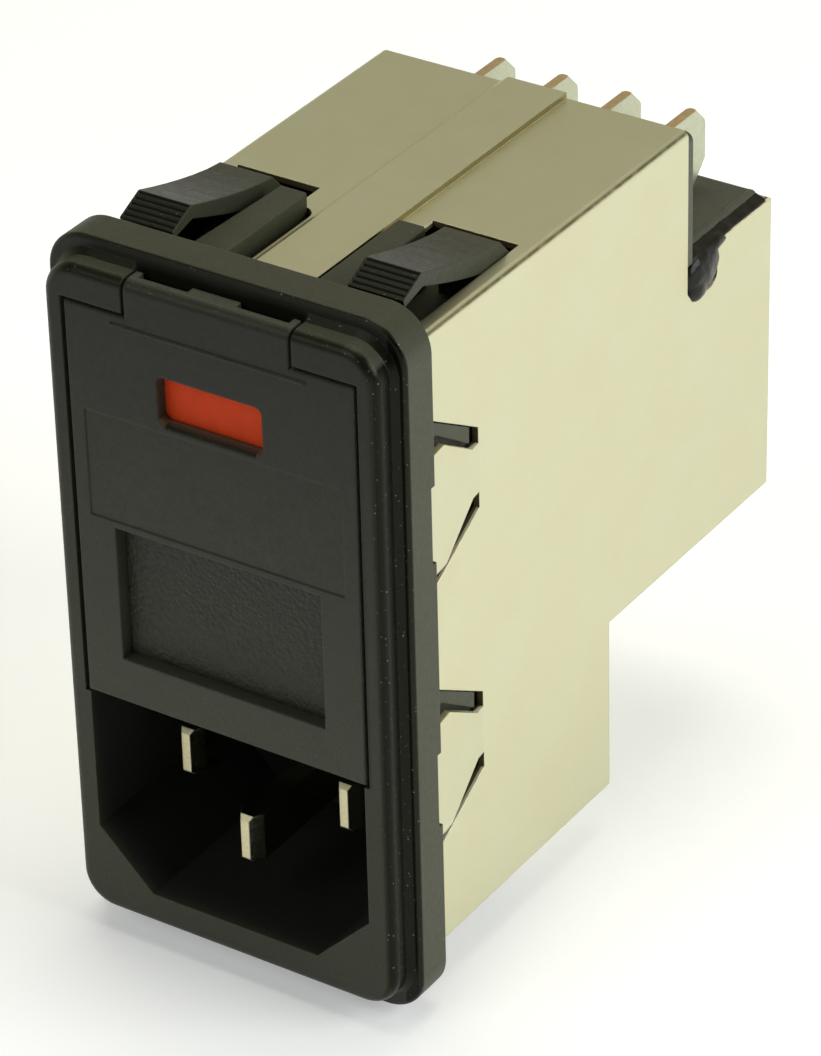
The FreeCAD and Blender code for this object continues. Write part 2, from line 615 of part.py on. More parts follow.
def can_shell():
    """Folded tin-plated sheet: one shell with seam, cut-outs and spring tongues."""
    outer = prism_x(can_outline(0.0, 0.0, 0.0), -CAN_HALF_W, CAN_HALF_W)
    outer = outer.makeFillet(BEND_R, pick(outer, lambda b: b.YLength > LOWER_DEPTH - 1 and b.XLength < 1e-6
                                          and b.ZLength < 1e-6 and (b.ZMin > CAN_TOP - 0.01
                                                                    or b.ZMax < CAN_BOTTOM + 0.01)))
    inner = prism_x(can_outline(SHEET, -1.0, 1.0), -CAN_HALF_W + SHEET, CAN_HALF_W - SHEET)
    inner = inner.makeFillet(BEND_R - SHEET, pick(inner, lambda b: b.YLength > LOWER_DEPTH - 1 and b.XLength < 1e-6
                                                  and b.ZLength < 1e-6 and (b.ZMin > CAN_TOP - SHEET - 0.01
                                                                            or b.ZMax < CAN_BOTTOM + SHEET + 0.01)))
    seam = prism_y([(-SEAM_HALF_W + 0.1, CAN_TOP - SHEET / 2), (-SEAM_HALF_W + 0.2, CAN_TOP),
                    (-SEAM_HALF_W + 0.2 + SEAM_JOGGLE, CAN_TOP + SHEET), (SEAM_HALF_W, CAN_TOP + SHEET),
                    (SEAM_HALF_W, CAN_TOP - SHEET / 2)], 0.0, UPPER_DEPTH)
    shell = fuse_all([outer.cut(inner), seam])
    tools = []
    slot = box(SEAM_HALF_W + 0.05, CUT_INNER_X + CUT_MARGIN, -1.0, SLOT_DEPTH, CAN_TOP - 1.0, CAN_TOP + 1.0)
    slot = slot.makeFillet(SLOT_R, pick(slot, lambda b: b.ZLength > 1 and b.YMin > 1 and b.XMax < SEAM_HALF_W + 0.1))
    tools += four_ways(slot)
    tools += four_ways(box(CUT_INNER_X, CUT_OUTER_X, -1.0, CUT_DEPTH, CAN_TOP - 1.0, CAN_TOP + 1.0))
    tongues = []
    for side in (-1, 1):
        xa, xb = sorted((side * (CAN_HALF_W - 2 * SHEET), side * (CAN_HALF_W + 1.0)))
        relief = box(xa, xb, UPPER_DEPTH - 1.0, UPPER_DEPTH + NOTCH_LEN, SHELF_Z - NOTCH_DEPTH, SHELF_Z + 1.0)
        relief = relief.makeFillet(NOTCH_R, pick(relief, lambda b: b.XLength > 0.9 and b.ZMax < SHELF_Z - 1
                                                 and b.YMin > UPPER_DEPTH))
        relief = relief.cut(prism_x([(UPPER_DEPTH - 1.1, SHELF_Z + 1.1), (UPPER_DEPTH, SHELF_Z + 1.1),
                                     (UPPER_DEPTH, SHELF_Z - NOTCH_DEPTH + 1.0),
                                     (UPPER_DEPTH + 0.8, SHELF_Z - NOTCH_DEPTH - 0.1),
                                     (UPPER_DEPTH - 1.1, SHELF_Z - NOTCH_DEPTH - 0.1)], xa - 0.1, xb + 0.1))
        xs, xe = sorted((side * 0.0, side * (CAN_HALF_W - SHEET / 2)))
        strip = box(xs, xe, UPPER_DEPTH - 1.1, UPPER_DEPTH + NOTCH_STRIP, SHELF_Z - NOTCH_DEPTH - 0.1, SHELF_Z - 0.8)
        tools.append(relief.cut(strip))
        for z in TONGUE_Z:
            mouth = gap_half_height(-1.0)
            tools.append(prism_x([(-1.0, z + mouth), (-1.0, z - mouth), (TONGUE_FOLD, z - GAP_ROOT),
                                  (TONGUE_FOLD, z + GAP_ROOT)], xa, xb))
            tongue = spring_tongue(z)
            tongues.append(tongue if side > 0 else mirror_x(tongue))
    return fuse_all([cut_all(shell, tools)] + tongues)


def terminal_block(blades):
    """Moulded rear plate carrying the blades, with the lid over the mid section."""
    half = CAN_HALF_W - PLATE_FIT
    inside = CAN_HALF_W - SHEET - FIT
    plate = box(-half, half, UPPER_DEPTH, UPPER_DEPTH + PLATE_T, SHELF_Z - 0.2, CAN_TOP - PLATE_DROP)
    plate = plate.makeFillet(0.7, pick(plate, lambda b: b.YLength > 0.5 and b.ZMin > SHELF_Z + 1
                                       and b.XLength < 1e-6))
    plug = box(-inside, inside, UPPER_DEPTH - PLUG_T, UPPER_DEPTH, SHELF_Z - 0.2, CAN_TOP - SHEET - FIT)
    plug = plug.makeFillet(BEND_R - SHEET + FIT, pick(plug, lambda b: b.YLength > 1 and b.ZMin > SHELF_Z + 1))
    lid_half = CAN_HALF_W - LID_INSET
    lid = box(-lid_half, lid_half, UPPER_DEPTH + 0.5, MID_DEPTH - SHEET - FIT, LID_TOP - LID_T, LID_TOP)
    lid = lid.makeFillet(0.5, pick(lid, lambda b: b.ZMin > LID_TOP - 0.01
                                   and (b.XLength < 1e-6 or b.YMin > MID_DEPTH - 2)))
    pads = [box(x - 1.1, x + 1.1, UPPER_DEPTH + 0.5, UPPER_DEPTH + PLATE_T + PAD_T,
                BLADE_Z - BLADE_H / 2 - 0.7, BLADE_Z + BLADE_H / 2 + 0.6) for x in blade_places()]
    return cut_all(fuse_all([plate, plug, lid] + pads), blades)


def blade_places():
    """X positions of the blade row."""
    first = -(BLADE_COUNT - 1) / 2 * BLADE_PITCH
    return [first + i * BLADE_PITCH for i in range(BLADE_COUNT)]


def potting(pockets):
    """Glossy compound that fills the can behind the housing, around the parts."""
    inside = CAN_HALF_W - SHEET - RESIN_GAP
    rear = MID_DEPTH - SHEET - RESIN_GAP
    floor = STEP_Z + SHEET + RESIN_GAP
    upper = box(-inside, inside, POTTING_FRONT, UPPER_DEPTH - PLUG_T - RESIN_GAP, floor, CAN_TOP - SHEET - RESIN_GAP)
    upper = upper.makeFillet(BEND_R - SHEET + RESIN_GAP, pick(upper, lambda b: b.YLength > 1
                                                              and b.ZMin > CAN_TOP - SHEET - 0.1))
    mid = box(-inside, inside, UPPER_DEPTH - PLUG_T - 1.0, rear, floor, LID_TOP - LID_T - RESIN_GAP)
    low = box(-inside, inside, WELL_END + POTTING_GAP, LOWER_DEPTH - SHEET - RESIN_GAP,
              CAN_BOTTOM + SHEET + RESIN_GAP, floor + 1.0)
    low = low.makeFillet(BEND_R - SHEET + RESIN_GAP, pick(low, lambda b: b.YLength > 1 and b.ZMax < CAN_BOTTOM + 1))
    return cut_all(fuse_all([upper, mid, low]), pockets)


def choke():
    """Toroid core and its two half windings."""
    centre = V(0.0, CHOKE_Y, CHOKE_Z)
    axis = V(0, 1, 0)
    half = CORE_T / 2
    outer = CORE_R + WINDING_T
    core = Part.makeCylinder(CORE_R, CORE_T, centre - V(0, half, 0), axis).cut(
        Part.makeCylinder(CORE_BORE, CORE_T + 1, centre - V(0, half + 0.5, 0), axis))
    windings = []
    for side in (-1, 1):
        deep = half + WINDING_T
        sleeve = Part.makeCylinder(outer, 2 * deep, centre - V(0, deep, 0), axis).cut(
            Part.makeCylinder(CORE_BORE - WINDING_T, 2 * deep + 1, centre - V(0, deep + 0.5, 0), axis)).cut(core)
        turns = []
        for i in range(WINDING_TURNS):
            middle = math.radians(-60.0 + 120.0 * i / (WINDING_TURNS - 1))
            spread = math.radians(6.5)
            sector = [(0.0, CHOKE_Z)] + [(side * 2 * outer * math.cos(a), CHOKE_Z + 2 * outer * math.sin(a))
                                         for a in (middle - spread, middle + spread)]
            turns.append(sleeve.common(prism_y(sector, CHOKE_Y - deep - 1, CHOKE_Y + deep + 1)))
        band = Part.makeCylinder(CORE_R + 0.5, 0.6, centre - V(0, 0.3, 0), axis).cut(
            Part.makeCylinder(CORE_R, 2.0, centre - V(0, 1.0, 0), axis))
        wide = [(0.0, CHOKE_Z)] + [(side * 3 * outer * math.cos(math.radians(a)),
                                    CHOKE_Z + 3 * outer * math.sin(math.radians(a))) for a in BAND_ANGLES]
        windings.append(fuse_all(turns + [band.common(prism_y(wide, CHOKE_Y - 1, CHOKE_Y + 1))]))
    deep = half + WINDING_T
    envelope = Part.makeCylinder(outer + 0.1, 2 * deep + 0.2, centre - V(0, deep + 0.1, 0), axis)
    return core, windings, envelope


def disc_capacitor(x):
    """Coated disc capacitor with two straight legs, and its pocket."""
    body = cyl(DISC_R, DISC_T, (x, DISC_Y, DISC_Z), (0, 1, 0))
    body = body.makeFillet(DISC_EDGE, pick(body, lambda b: b.YLength < 1e-6))
    pocket = cyl(DISC_R + FIT, DISC_T + 2 * FIT, (x, DISC_Y - FIT, DISC_Z), (0, 1, 0))
    for dx in (-LEG_X, LEG_X):
        foot = (x + dx, DISC_Y + DISC_T / 2, DISC_Z + LEG_RISE)
        body = body.fuse(cyl(LEG_R, LEG_LEN, foot, (0, 0, 1)))
        pocket = pocket.fuse(cyl(LEG_R + FIT, LEG_LEN + FIT, foot, (0, 0, 1)))
    return body, pocket


def film_capacitor(grow):
    """Boxed capacitor across the step, or its pocket when grown."""
    body = box(-X_CAP_HALF_W - grow, X_CAP_HALF_W + grow, X_CAP_Y - grow, X_CAP_Y + X_CAP_T + grow,
               X_CAP_Z - grow, X_CAP_Z + X_CAP_H + grow)
    return body.makeFillet(X_CAP_EDGE, pick(body, lambda q: q.ZLength > 1 and q.XLength < 1e-6
                                            and q.YLength < 1e-6))


def bleed_resistor(grow):
    """Axial resistor with straight leads, or its pocket when grown."""
    body = cyl(RES_R + grow, RES_LEN, (-RES_LEN / 2, RES_Y, RES_Z), (1, 0, 0))
    lead = cyl(LEG_R + grow, 2 * (RES_LEAD + grow), (-RES_LEAD - grow, RES_Y, RES_Z), (1, 0, 0))
    ends = [cyl(RES_CAP_R + grow, RES_CAP_LEN + 2 * grow, (x - grow, RES_Y, RES_Z), (1, 0, 0))
            for x in (-RES_LEN / 2 - 0.2, RES_LEN / 2 + 0.2 - RES_CAP_LEN)]
    return fuse_all([body, lead] + ends)


def main():
    """Build every node and write one file per node."""
    os.makedirs("parts", exist_ok=True)
    pins = {"line_pin": inlet_pin(PIN_X, PIN_Z, PIN_TIP),
            "neutral_pin": inlet_pin(-PIN_X, PIN_Z, PIN_TIP),
            "earth_pin": inlet_pin(0.0, EARTH_Z, PIN_TIP - EARTH_LEAD)}
    clips = {}
    nodes = {}
    for name, z in FUSE_Z.items():
        for label, side in (("left", -1), ("right", 1)):
            clips["%s_clip_%s" % (name, label)] = fuse_clip(side, z)
        glass, caps, strand = fuse_parts(z)
        nodes["%s_fuse_glass" % name] = glass
        nodes["%s_fuse_cap_left" % name] = caps[0]
        nodes["%s_fuse_cap_right" % name] = caps[1]
        nodes["%s_fuse_wire" % name] = strand
    blades = {"blade_%d" % (i + 1): blade_terminal(x) for i, x in enumerate(blade_places())}
    nodes["front_housing"] = front_housing(list(pins.values()) + list(clips.values()))
    nodes["drawer_cover"] = drawer_cover()
    nodes["window_insert"] = window_insert()
    nodes["fuse_block"] = fuse_block()
    nodes["can_shell"] = can_shell()
    nodes["terminal_block"] = terminal_block(blades.values())

    core, windings, envelope = choke()
    nodes["choke_core"] = core
    nodes["line_winding"] = windings[0]
    nodes["neutral_winding"] = windings[1]
    nodes["x_capacitor"] = film_capacitor(0.0)
    nodes["bleed_resistor"] = bleed_resistor(0.0)
    pockets = [envelope, film_capacitor(FIT), bleed_resistor(FIT)]
    for name, x in (("y_capacitor_left", -DISC_X), ("y_capacitor_right", DISC_X)):
        nodes[name], pocket = disc_capacitor(x)
        pockets.append(pocket)
    nodes.update(pins)
    nodes.update(clips)
    nodes.update(blades)

    back = BAY_BACK + CLIP_TAIL
    half_way = (back + CHOKE_FRONT) / 2
    low, high = FUSE_Z["lower"], FUSE_Z["upper"]
    pin_top = PIN_Z + PIN_H * 0.4
    outside = -CLIP_X - LEAD_SIDE
    nodes["line_lead"] = wire_run([(PIN_X, LEAD_LANE, pin_top), (PIN_X, LEAD_LANE, low), (PIN_X, back, low)], LEAD_R)
    nodes["neutral_lead"] = wire_run([(-PIN_X, LEAD_LANE, pin_top), (-PIN_X, LEAD_LANE, pin_top + LEAD_RISE),
                                      (outside, LEAD_LANE, pin_top + LEAD_RISE), (outside, LEAD_LANE, high),
                                      (-CLIP_X, LEAD_LANE, high), (-CLIP_X, back, high)], LEAD_R)
    tap = -CLIP_X + TAP_SHIFT
    nodes["line_choke_lead"] = wire_run([(-CLIP_X, back, low), (-CLIP_X, half_way, low),
                                         (tap, half_way, CHOKE_Z - WINDING_TAP),
                                         (tap, CHOKE_FRONT, CHOKE_Z - WINDING_TAP)], LEAD_R)
    nodes["neutral_choke_lead"] = wire_run([(CLIP_X, back, high), (CLIP_X, half_way, high),
                                            (-tap, half_way, CHOKE_Z - WINDING_TAP),
                                            (-tap, CHOKE_FRONT, CHOKE_Z - WINDING_TAP)], LEAD_R)
    buried = list(blades.values()) + list(pins.values()) + [nodes["line_choke_lead"], nodes["neutral_choke_lead"]]
    nodes["potting_compound"] = potting(pockets + buried)
    for name, shape in nodes.items():
        export(shape, name)


main()
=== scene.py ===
"""Looks of a snap-in mains power entry filter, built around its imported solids.

The sub-assemblies are classes that hold their sizes and build their meshes,
the finishes are frozen dataclasses that make procedural materials, and the
studio holds floor, lights and camera.
"""

import logging
import math
from dataclasses import dataclass
from enum import Enum
from typing import Callable, Dict, List, Optional, Sequence, Tuple

import bmesh
import bpy
from mathutils import Matrix, Vector


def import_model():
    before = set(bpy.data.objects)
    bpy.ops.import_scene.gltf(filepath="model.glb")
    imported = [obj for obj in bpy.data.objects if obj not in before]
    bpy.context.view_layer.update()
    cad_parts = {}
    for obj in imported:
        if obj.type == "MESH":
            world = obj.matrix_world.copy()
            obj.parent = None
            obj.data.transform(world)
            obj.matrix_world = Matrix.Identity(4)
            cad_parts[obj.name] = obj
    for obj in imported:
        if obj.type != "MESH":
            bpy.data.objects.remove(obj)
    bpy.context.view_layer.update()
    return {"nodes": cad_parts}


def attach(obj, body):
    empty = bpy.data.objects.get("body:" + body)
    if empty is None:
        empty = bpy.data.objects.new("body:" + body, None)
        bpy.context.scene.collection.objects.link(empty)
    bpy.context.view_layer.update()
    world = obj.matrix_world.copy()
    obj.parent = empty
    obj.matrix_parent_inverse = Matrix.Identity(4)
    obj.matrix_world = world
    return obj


logging.basicConfig(level=logging.INFO, format="%(levelname)s %(message)s")
LOG = logging.getLogger("power_entry_filter")

MM = 0.001
BEVEL_SAMPLES = 6
MIX_INPUTS = (0, 6, 7)  # factor and the two colours of a mix node
MIX_COLOUR = 2  # its colour output
EDGE_START = 0.002  # difference of normals at which an edge begins
PAINTED_SHADE_KEEP = 0.2  # share of its colour that painted shade keeps
Colour = Tuple[float, float, float]
Point = Tuple[float, float, float]
Span = Tuple[float, float]


class Body(str, Enum):
    """Moving bodies of the part."""

    MODULE = "module"
    DRAWER = "drawer"


class Grain(Enum):
    """Surface grain that a moulding tool leaves."""

    SPARK = "spark"
    LEATHER = "leather"
    FINE = "fine"


def toned(colour: Colour, factor: float) -> Colour:
    """Colour made darker or lighter.

    Args:
        colour: Colour to change.
        factor: Factor on each of its parts.

    Returns:
        The new colour.
    """
    return tuple(c * factor for c in colour)


# ---- material benches -----------------------------------------------------


class Bench:
    """One procedural material under construction."""

    def __init__(self, name: str) -> None:
        """Start an empty node tree.

        Args:
            name: Name of the material.
        """
        self.material = bpy.data.materials.new(name)
        self.material.use_nodes = True
        self.nodes = self.material.node_tree.nodes
        self.links = self.material.node_tree.links
        self.nodes.clear()
        self.output = self.nodes.new("ShaderNodeOutputMaterial")
        self.place = self.nodes.new("ShaderNodeTexCoord").outputs["Object"]

    def node(self, kind: str, **sockets: object) -> bpy.types.Node:
        """Add a node and set or link its inputs.

        Args:
            kind: Blender node type.
            **sockets: Input names, with spaces as underscores, and values or outputs.

        Returns:
            The new node.
        """
        made = self.nodes.new(kind)
        for key, value in sockets.items():
            self.feed(made.inputs[key.replace("_", " ")], value)
        return made

    def feed(self, target: bpy.types.NodeSocket, value: object) -> None:
        """Link an output to an input, or set the input's value.

        Args:
            target: Input that takes the value.
            value: An output, a number, or a colour or vector.
        """
        if isinstance(value, bpy.types.NodeSocket):
            self.links.new(value, target)
        elif target.type == "RGBA":
            target.default_value = (*value, 1.0)
        else:
            target.default_value = value

    def stretched(self, scale: Point) -> bpy.types.NodeSocket:
        """Object coordinates scaled along each axis.

        Args:
            scale: Factors along X, Y and Z.

        Returns:
            The scaled vector.
        """
        return self.node("ShaderNodeMapping", Vector=self.place, Scale=scale).outputs["Vector"]

    def noise(self, size_mm: float, detail: float = 2.0, rough: float = 0.5,
              vector: Optional[bpy.types.NodeSocket] = None) -> bpy.types.NodeSocket:
        """Noise whose features have a real size.

        Args:
            size_mm: Size of one feature in millimetres.
            detail: Octaves.
            rough: Roughness of the octaves.
            vector: Coordinates, or None for object coordinates.

        Returns:
            The noise value.
        """
        made = self.node("ShaderNodeTexNoise", Vector=vector or self.place, Scale=1.0 / (size_mm * MM),
                         Detail=detail, Roughness=rough)
        return made.outputs["Fac"]

    def patches(self, size_mm: float, low: float = 0.3, high: float = 0.7, start: float = 0.0,
                end: float = 1.0) -> bpy.types.NodeSocket:
        """Soft uneven patches of a real size.

        Args:
            size_mm: Size of one patch in millimetres.
            low: Noise value that gives start.
            high: Noise value that gives end.
            start: Output at low.
            end: Output at high.

        Returns:
            The value of the patches.
        """
        return self.ramp(self.noise(size_mm, 3.0, 0.6), low, high, start, end)

    def cells(self, size_mm: float) -> bpy.types.NodeSocket:
        """Distance pattern of scattered cells.

        Args:
            size_mm: Size of one cell in millimetres.

        Returns:
            The distance.
        """
        made = self.node("ShaderNodeTexVoronoi", Vector=self.place, Scale=1.0 / (size_mm * MM))
        return made.outputs["Distance"]

    def ramp(self, value: bpy.types.NodeSocket, low: float, high: float, start: float = 0.0,
             end: float = 1.0) -> bpy.types.NodeSocket:
        """Map a range of a value to another range, clamped.

        Args:
            value: Input value.
            low: Input that gives start.
            high: Input that gives end.
            start: Output at low.
            end: Output at high.

        Returns:
            The mapped value.
        """
        made = self.node("ShaderNodeMapRange", Value=value, From_Min=low, From_Max=high, To_Min=start, To_Max=end)
        return made.outputs["Result"]

    def math(self, kind: str, first: object, second: object = 0.0) -> bpy.types.NodeSocket:
        """Combine two values.

        Args:
            kind: Math operation.
            first: First value or output.
            second: Second value or output.

        Returns:
            The result.
        """
        made = self.nodes.new("ShaderNodeMath")
        made.operation = kind
        for index, value in enumerate((first, second)):
            self.feed(made.inputs[index], value)
        return made.outputs[0]

    def times(self, first: object, *others: object) -> bpy.types.NodeSocket:
        """Product of several values, such as masks.

        Args:
            first: First value or output.
            *others: Values or outputs that it is multiplied by.

        Returns:
            The product.
        """
        product = first
        for other in others:
            product = self.math("MULTIPLY", product, other)
        return product

    def mix(self, factor: object, first: object, second: object) -> bpy.types.NodeSocket:
        """Mix two colours.

        Args:
            factor: Share of the second colour.
            first: First colour or output.
            second: Second colour or output.

        Returns:
            The mixed colour.
        """
        made = self.nodes.new("ShaderNodeMix")
        made.data_type = "RGBA"
        for index, value in zip(MIX_INPUTS, (factor, first, second)):
            self.feed(made.inputs[index], value)
        return made.outputs[MIX_COLOUR]

    def rounded(self, radius_mm: float) -> bpy.types.NodeSocket:
        """Normal with every edge rounded.

        Args:
            radius_mm: Edge radius in millimetres.

        Returns:
            The rounded normal.
        """
        made = self.node("ShaderNodeBevel", Radius=radius_mm * MM)
        made.samples = BEVEL_SAMPLES
        return made.outputs["Normal"]

    def edge(self, rounded: bpy.types.NodeSocket, sharp: float = 0.05) -> bpy.types.NodeSocket:
        """Mask of the edges, from the rounded normal against the flat one.

        Args:
            rounded: Rounded normal.
            sharp: Difference at which the mask is full.

        Returns:
            Mask from 0 on faces to 1 on edges.
        """
        geometry = self.nodes.new("ShaderNodeNewGeometry")
        dot = self.nodes.new("ShaderNodeVectorMath")
        dot.operation = "DOT_PRODUCT"
        self.links.new(rounded, dot.inputs[0])
        self.links.new(geometry.outputs["Normal"], dot.inputs[1])
        return self.ramp(dot.outputs["Value"], 1.0 - EDGE_START, 1.0 - sharp)

    def part_of(self, vector: bpy.types.NodeSocket, axis: int, signed: bool = False) -> bpy.types.NodeSocket:
        """One component of a vector.

        Args:
            vector: Vector to split.
            axis: 0, 1 or 2 for X, Y or Z.
            signed: Keep the sign.

        Returns:
            The component, without its sign unless signed.
        """
        split = self.nodes.new("ShaderNodeSeparateXYZ")
        self.links.new(vector, split.inputs[0])
        return split.outputs[axis] if signed else self.math("ABSOLUTE", split.outputs[axis])

    def faces(self, axis: int, low: float, high: float) -> bpy.types.NodeSocket:
        """Mask of the faces that look along an axis, either way, or across it if high is below low.

        Args:
            axis: 0, 1 or 2 for X, Y or Z.
            low: Share of the true normal at which the mask is 0.
            high: Share at which it is 1.

        Returns:
            Mask of the faces.
        """
        geometry = self.nodes.new("ShaderNodeNewGeometry")
        return self.ramp(self.part_of(geometry.outputs["True Normal"], axis), low, high)

    def along(self, axis: int, low_mm: float, high_mm: float, start: float = 0.0,
              end: float = 1.0) -> bpy.types.NodeSocket:
        """Value that changes between two places on an axis.

        Args:
            axis: 0, 1 or 2 for X, Y or Z.
            low_mm: Place that gives start.
            high_mm: Place that gives end.
            start: Output at low_mm.
            end: Output at high_mm.

        Returns:
            The value.
        """
        return self.ramp(self.part_of(self.place, axis, True), low_mm * MM, high_mm * MM, start, end)

    def turned(self) -> bpy.types.NodeSocket:
        """Mask of the rounded corners between the front and the sides.

        Returns:
            Mask from 0 on square faces to 1 on rounded ones.
        """
        return self.times(self.faces(1, 0.10, 0.35), self.faces(1, 0.99, 0.92))

    def within(self, axis: int, low_mm: float, high_mm: float, soft_mm: float = 0.02,
               signed: bool = False) -> bpy.types.NodeSocket:
        """Mask of a layer between two distances from the middle plane.

        Args:
            axis: 0, 1 or 2 for X, Y or Z.
            low_mm: Start of the layer.
            high_mm: End of the layer.
            soft_mm: Width over which it fades.
            signed: Take one side of the plane alone.

        Returns:
            Mask of the layer.
        """
        place = self.part_of(self.place, axis, signed)
        rise = self.ramp(place, (low_mm - soft_mm) * MM, (low_mm + soft_mm) * MM)
        fall = self.ramp(place, (high_mm - soft_mm) * MM, (high_mm + soft_mm) * MM, 1.0, 0.0)
        return self.times(rise, fall)

    def bump(self, height: bpy.types.NodeSocket, depth_mm: float, strength: float,
             normal: bpy.types.NodeSocket) -> bpy.types.NodeSocket:
        """Relief from a height value.

        Args:
            height: Height from 0 to 1.
            depth_mm: Depth of the relief in millimetres.
            strength: Share of the relief that shows.
            normal: Normal that the relief lies on.

        Returns:
            The new normal.
        """
        made = self.node("ShaderNodeBump", Height=height, Strength=strength, Distance=depth_mm * MM, Normal=normal)
        return made.outputs["Normal"]

    def shade(self, **sockets: object) -> bpy.types.Material:
        """Close the tree with one principled surface.

        Args:
            **sockets: Inputs of the surface shader.

        Returns:
            The finished material.
        """
        surface = self.node("ShaderNodeBsdfPrincipled", **sockets)
        self.links.new(surface.outputs["BSDF"], self.output.inputs["Surface"])
        return self.material


# ---- finishes -------------------------------------------------------------

# size and depth of the tool's grain, in millimetres
TOOL_GRAIN: Dict[Grain, Span] = {Grain.SPARK: (0.15, 0.02), Grain.FINE: (0.09, 0.006)}
LEATHER_PEBBLE = 0.36
LEATHER_FOLD = 0.2
LEATHER_DEPTH = 0.07


@dataclass(frozen=True)
class Finish:
    """Base of every finish: a material name and its slot in the record."""

    name: str
    slot: str

    def make(self) -> bpy.types.Material:
        """Build the material; each finish has its own."""
        raise NotImplementedError


@dataclass(frozen=True)
class MouldedBlack(Finish):
    """Black moulded thermoplastic with the grain of its tool, worn edges, and painted light: painted sheen on edges
    and sides, painted dark reflections on rounded corners, painted glints and painted shade on front faces.
    """

    colour: Colour = (0.037, 0.0395, 0.023)
    grain: Grain = Grain.SPARK
    roughness: float = 0.46
    edge_mm: float = 0.14
    # share of the paler edges: partly real wear, partly painted sheen
    wear_and_sheen: float = 0.4
    # share of the painted dark reflection on the rounded corners
    dark_corner_share: float = 0.5
    # painted shade on front faces, growing between these heights
    shade_z: Span = (-6.0, 26.0)
    shade_share: float = 0.92
    dark_tone: float = 0.86
    mottle_tone: float = 1.6
    mottle_mm: float = 0.2
    mottle_share: float = 0.4
    # painted light on the flange's side faces: where and how much
    lit_side_x: Span = (12.4, 16.0)
    lit_side_share: float = 0.45
    # painted dark reflection on the rounded corners: its ramp across X, metallic and roughness
    corner_x: Span = (-13.5, -11.5)
    corner_metal: float = 0.85
    corner_polish: float = 0.6
    # painted glints: size and colour of the pale specks
    glint_mm: float = 0.42
    glint_colour: Colour = (0.42, 0.42, 0.38)
    specular: float = 0.27

    def relief(self, bench: Bench, rounded: bpy.types.NodeSocket) -> bpy.types.NodeSocket:
        """Grain of the tool as a normal.

        Args:
            bench: Material under construction.
            rounded: Normal with rounded edges.

        Returns:
            Normal with the grain.
        """
        if self.grain is Grain.LEATHER:
            pebbles = bench.ramp(bench.cells(LEATHER_PEBBLE), 0.15, 0.75, 1.0, 0.0)
            folds = bench.noise(LEATHER_FOLD, 3.0, 0.65)
            height = bench.math("ADD", bench.times(pebbles, 0.6), bench.times(folds, 0.6))
            return bench.bump(height, LEATHER_DEPTH, 0.95, rounded)
        size, depth = TOOL_GRAIN[self.grain]
        height = bench.math("ADD", bench.times(bench.noise(size, 2.0, 0.6), 0.7),
                            bench.times(bench.noise(size * 3.5), 0.3))
        return bench.bump(height, depth, 0.85, rounded)

    def make(self) -> bpy.types.Material:
        """Build the material.

        Returns:
            The finished material.
        """
        bench = Bench(self.name)
        rounded = bench.rounded(self.edge_mm)
        # edge mask for paler edges: partly real wear, partly painted sheen
        worn_and_sheen_edge = bench.edge(rounded)
        cloud = bench.patches(4.0, 0.35, 0.68)
        # pale colour for worn edges with painted sheen, and for painted light on the sides
        pale_wear_and_light = tuple(min(1.0, c * 1.9 + 0.008) for c in self.colour)
        # colour of painted shade on corners and front faces
        painted_shade = toned(self.colour, PAINTED_SHADE_KEEP)
        base = bench.mix(cloud, toned(self.colour, self.dark_tone), self.colour)
        mottle = bench.ramp(bench.noise(self.mottle_mm, 3.0, 0.7), 0.38, 0.62)
        base = bench.mix(bench.times(mottle, self.mottle_share), base, toned(self.colour, self.mottle_tone))
        base = bench.mix(bench.times(worn_and_sheen_edge, self.wear_and_sheen), base, pale_wear_and_light)
        # painted light: side faces of the flange made paler
        side = bench.times(bench.faces(0, 0.9, 0.98), bench.within(0, *self.lit_side_x, 0.3))
        base = bench.mix(bench.times(side, self.lit_side_share), base, pale_wear_and_light)
        # painted dark reflection on the rounded front corners, weaker at the far left
        dark_reflection_mask = self.painted_dark_reflection(bench, bench.times(bench.turned(), bench.along(0, *self.corner_x, 0.3, 1.0)))
        base = bench.mix(dark_reflection_mask, base, painted_shade)
        # painted glints: pale specks, far more of them on the painted dark corners
        glint_spots = bench.ramp(bench.cells(self.glint_mm), 0.17, 0.09)
        glint_patches = bench.ramp(bench.noise(0.8, 2.0, 0.6), 0.44, 0.60)
        base = bench.mix(bench.times(glint_spots, glint_patches, bench.ramp(dark_reflection_mask, 0.0, 1.0, 0.07, 0.5)), base, self.glint_colour)
        # painted shade: front faces darker towards the top
        front = bench.times(bench.faces(1, 0.9, 0.97), bench.along(2, *self.shade_z))
        base = self.paint_recess_light(bench, bench.mix(bench.times(front, self.shade_share), base, painted_shade))
        rough = bench.patches(0.5, start=self.roughness - 0.05, end=self.roughness + 0.08)
        # the painted dark corners also get lower roughness and more metal
        polish = bench.ramp(dark_reflection_mask, 0.0, 1.0, 1.0, self.corner_polish)
        return bench.shade(Base_Color=base, Roughness=bench.times(rough, polish),
                           Metallic=bench.ramp(dark_reflection_mask, 0.0, 1.0, 0.0, self.corner_metal),
                           Specular_IOR_Level=self.specular, Normal=self.relief(bench, rounded))

    def painted_dark_reflection(self, bench: Bench, turned: bpy.types.NodeSocket) -> bpy.types.NodeSocket:
        """Mask of the rounded corners that get a painted dark reflection, with lower roughness and more metal.

        Args:
            bench: Material under construction.
            turned: Mask of the rounded corners.

        Returns:
            Mask of what is painted dark.
        """
        return bench.times(turned, self.dark_corner_share)

    def paint_recess_light(self, bench: Bench, base: bpy.types.NodeSocket) -> bpy.types.NodeSocket:
        """Painted shade and painted reflected light in recesses; plain mouldings have none.

        Args:
            bench: Material under construction; not used here.
            base: Colour of the open faces.

        Returns:
            The colour with its recesses.
        """
        return base


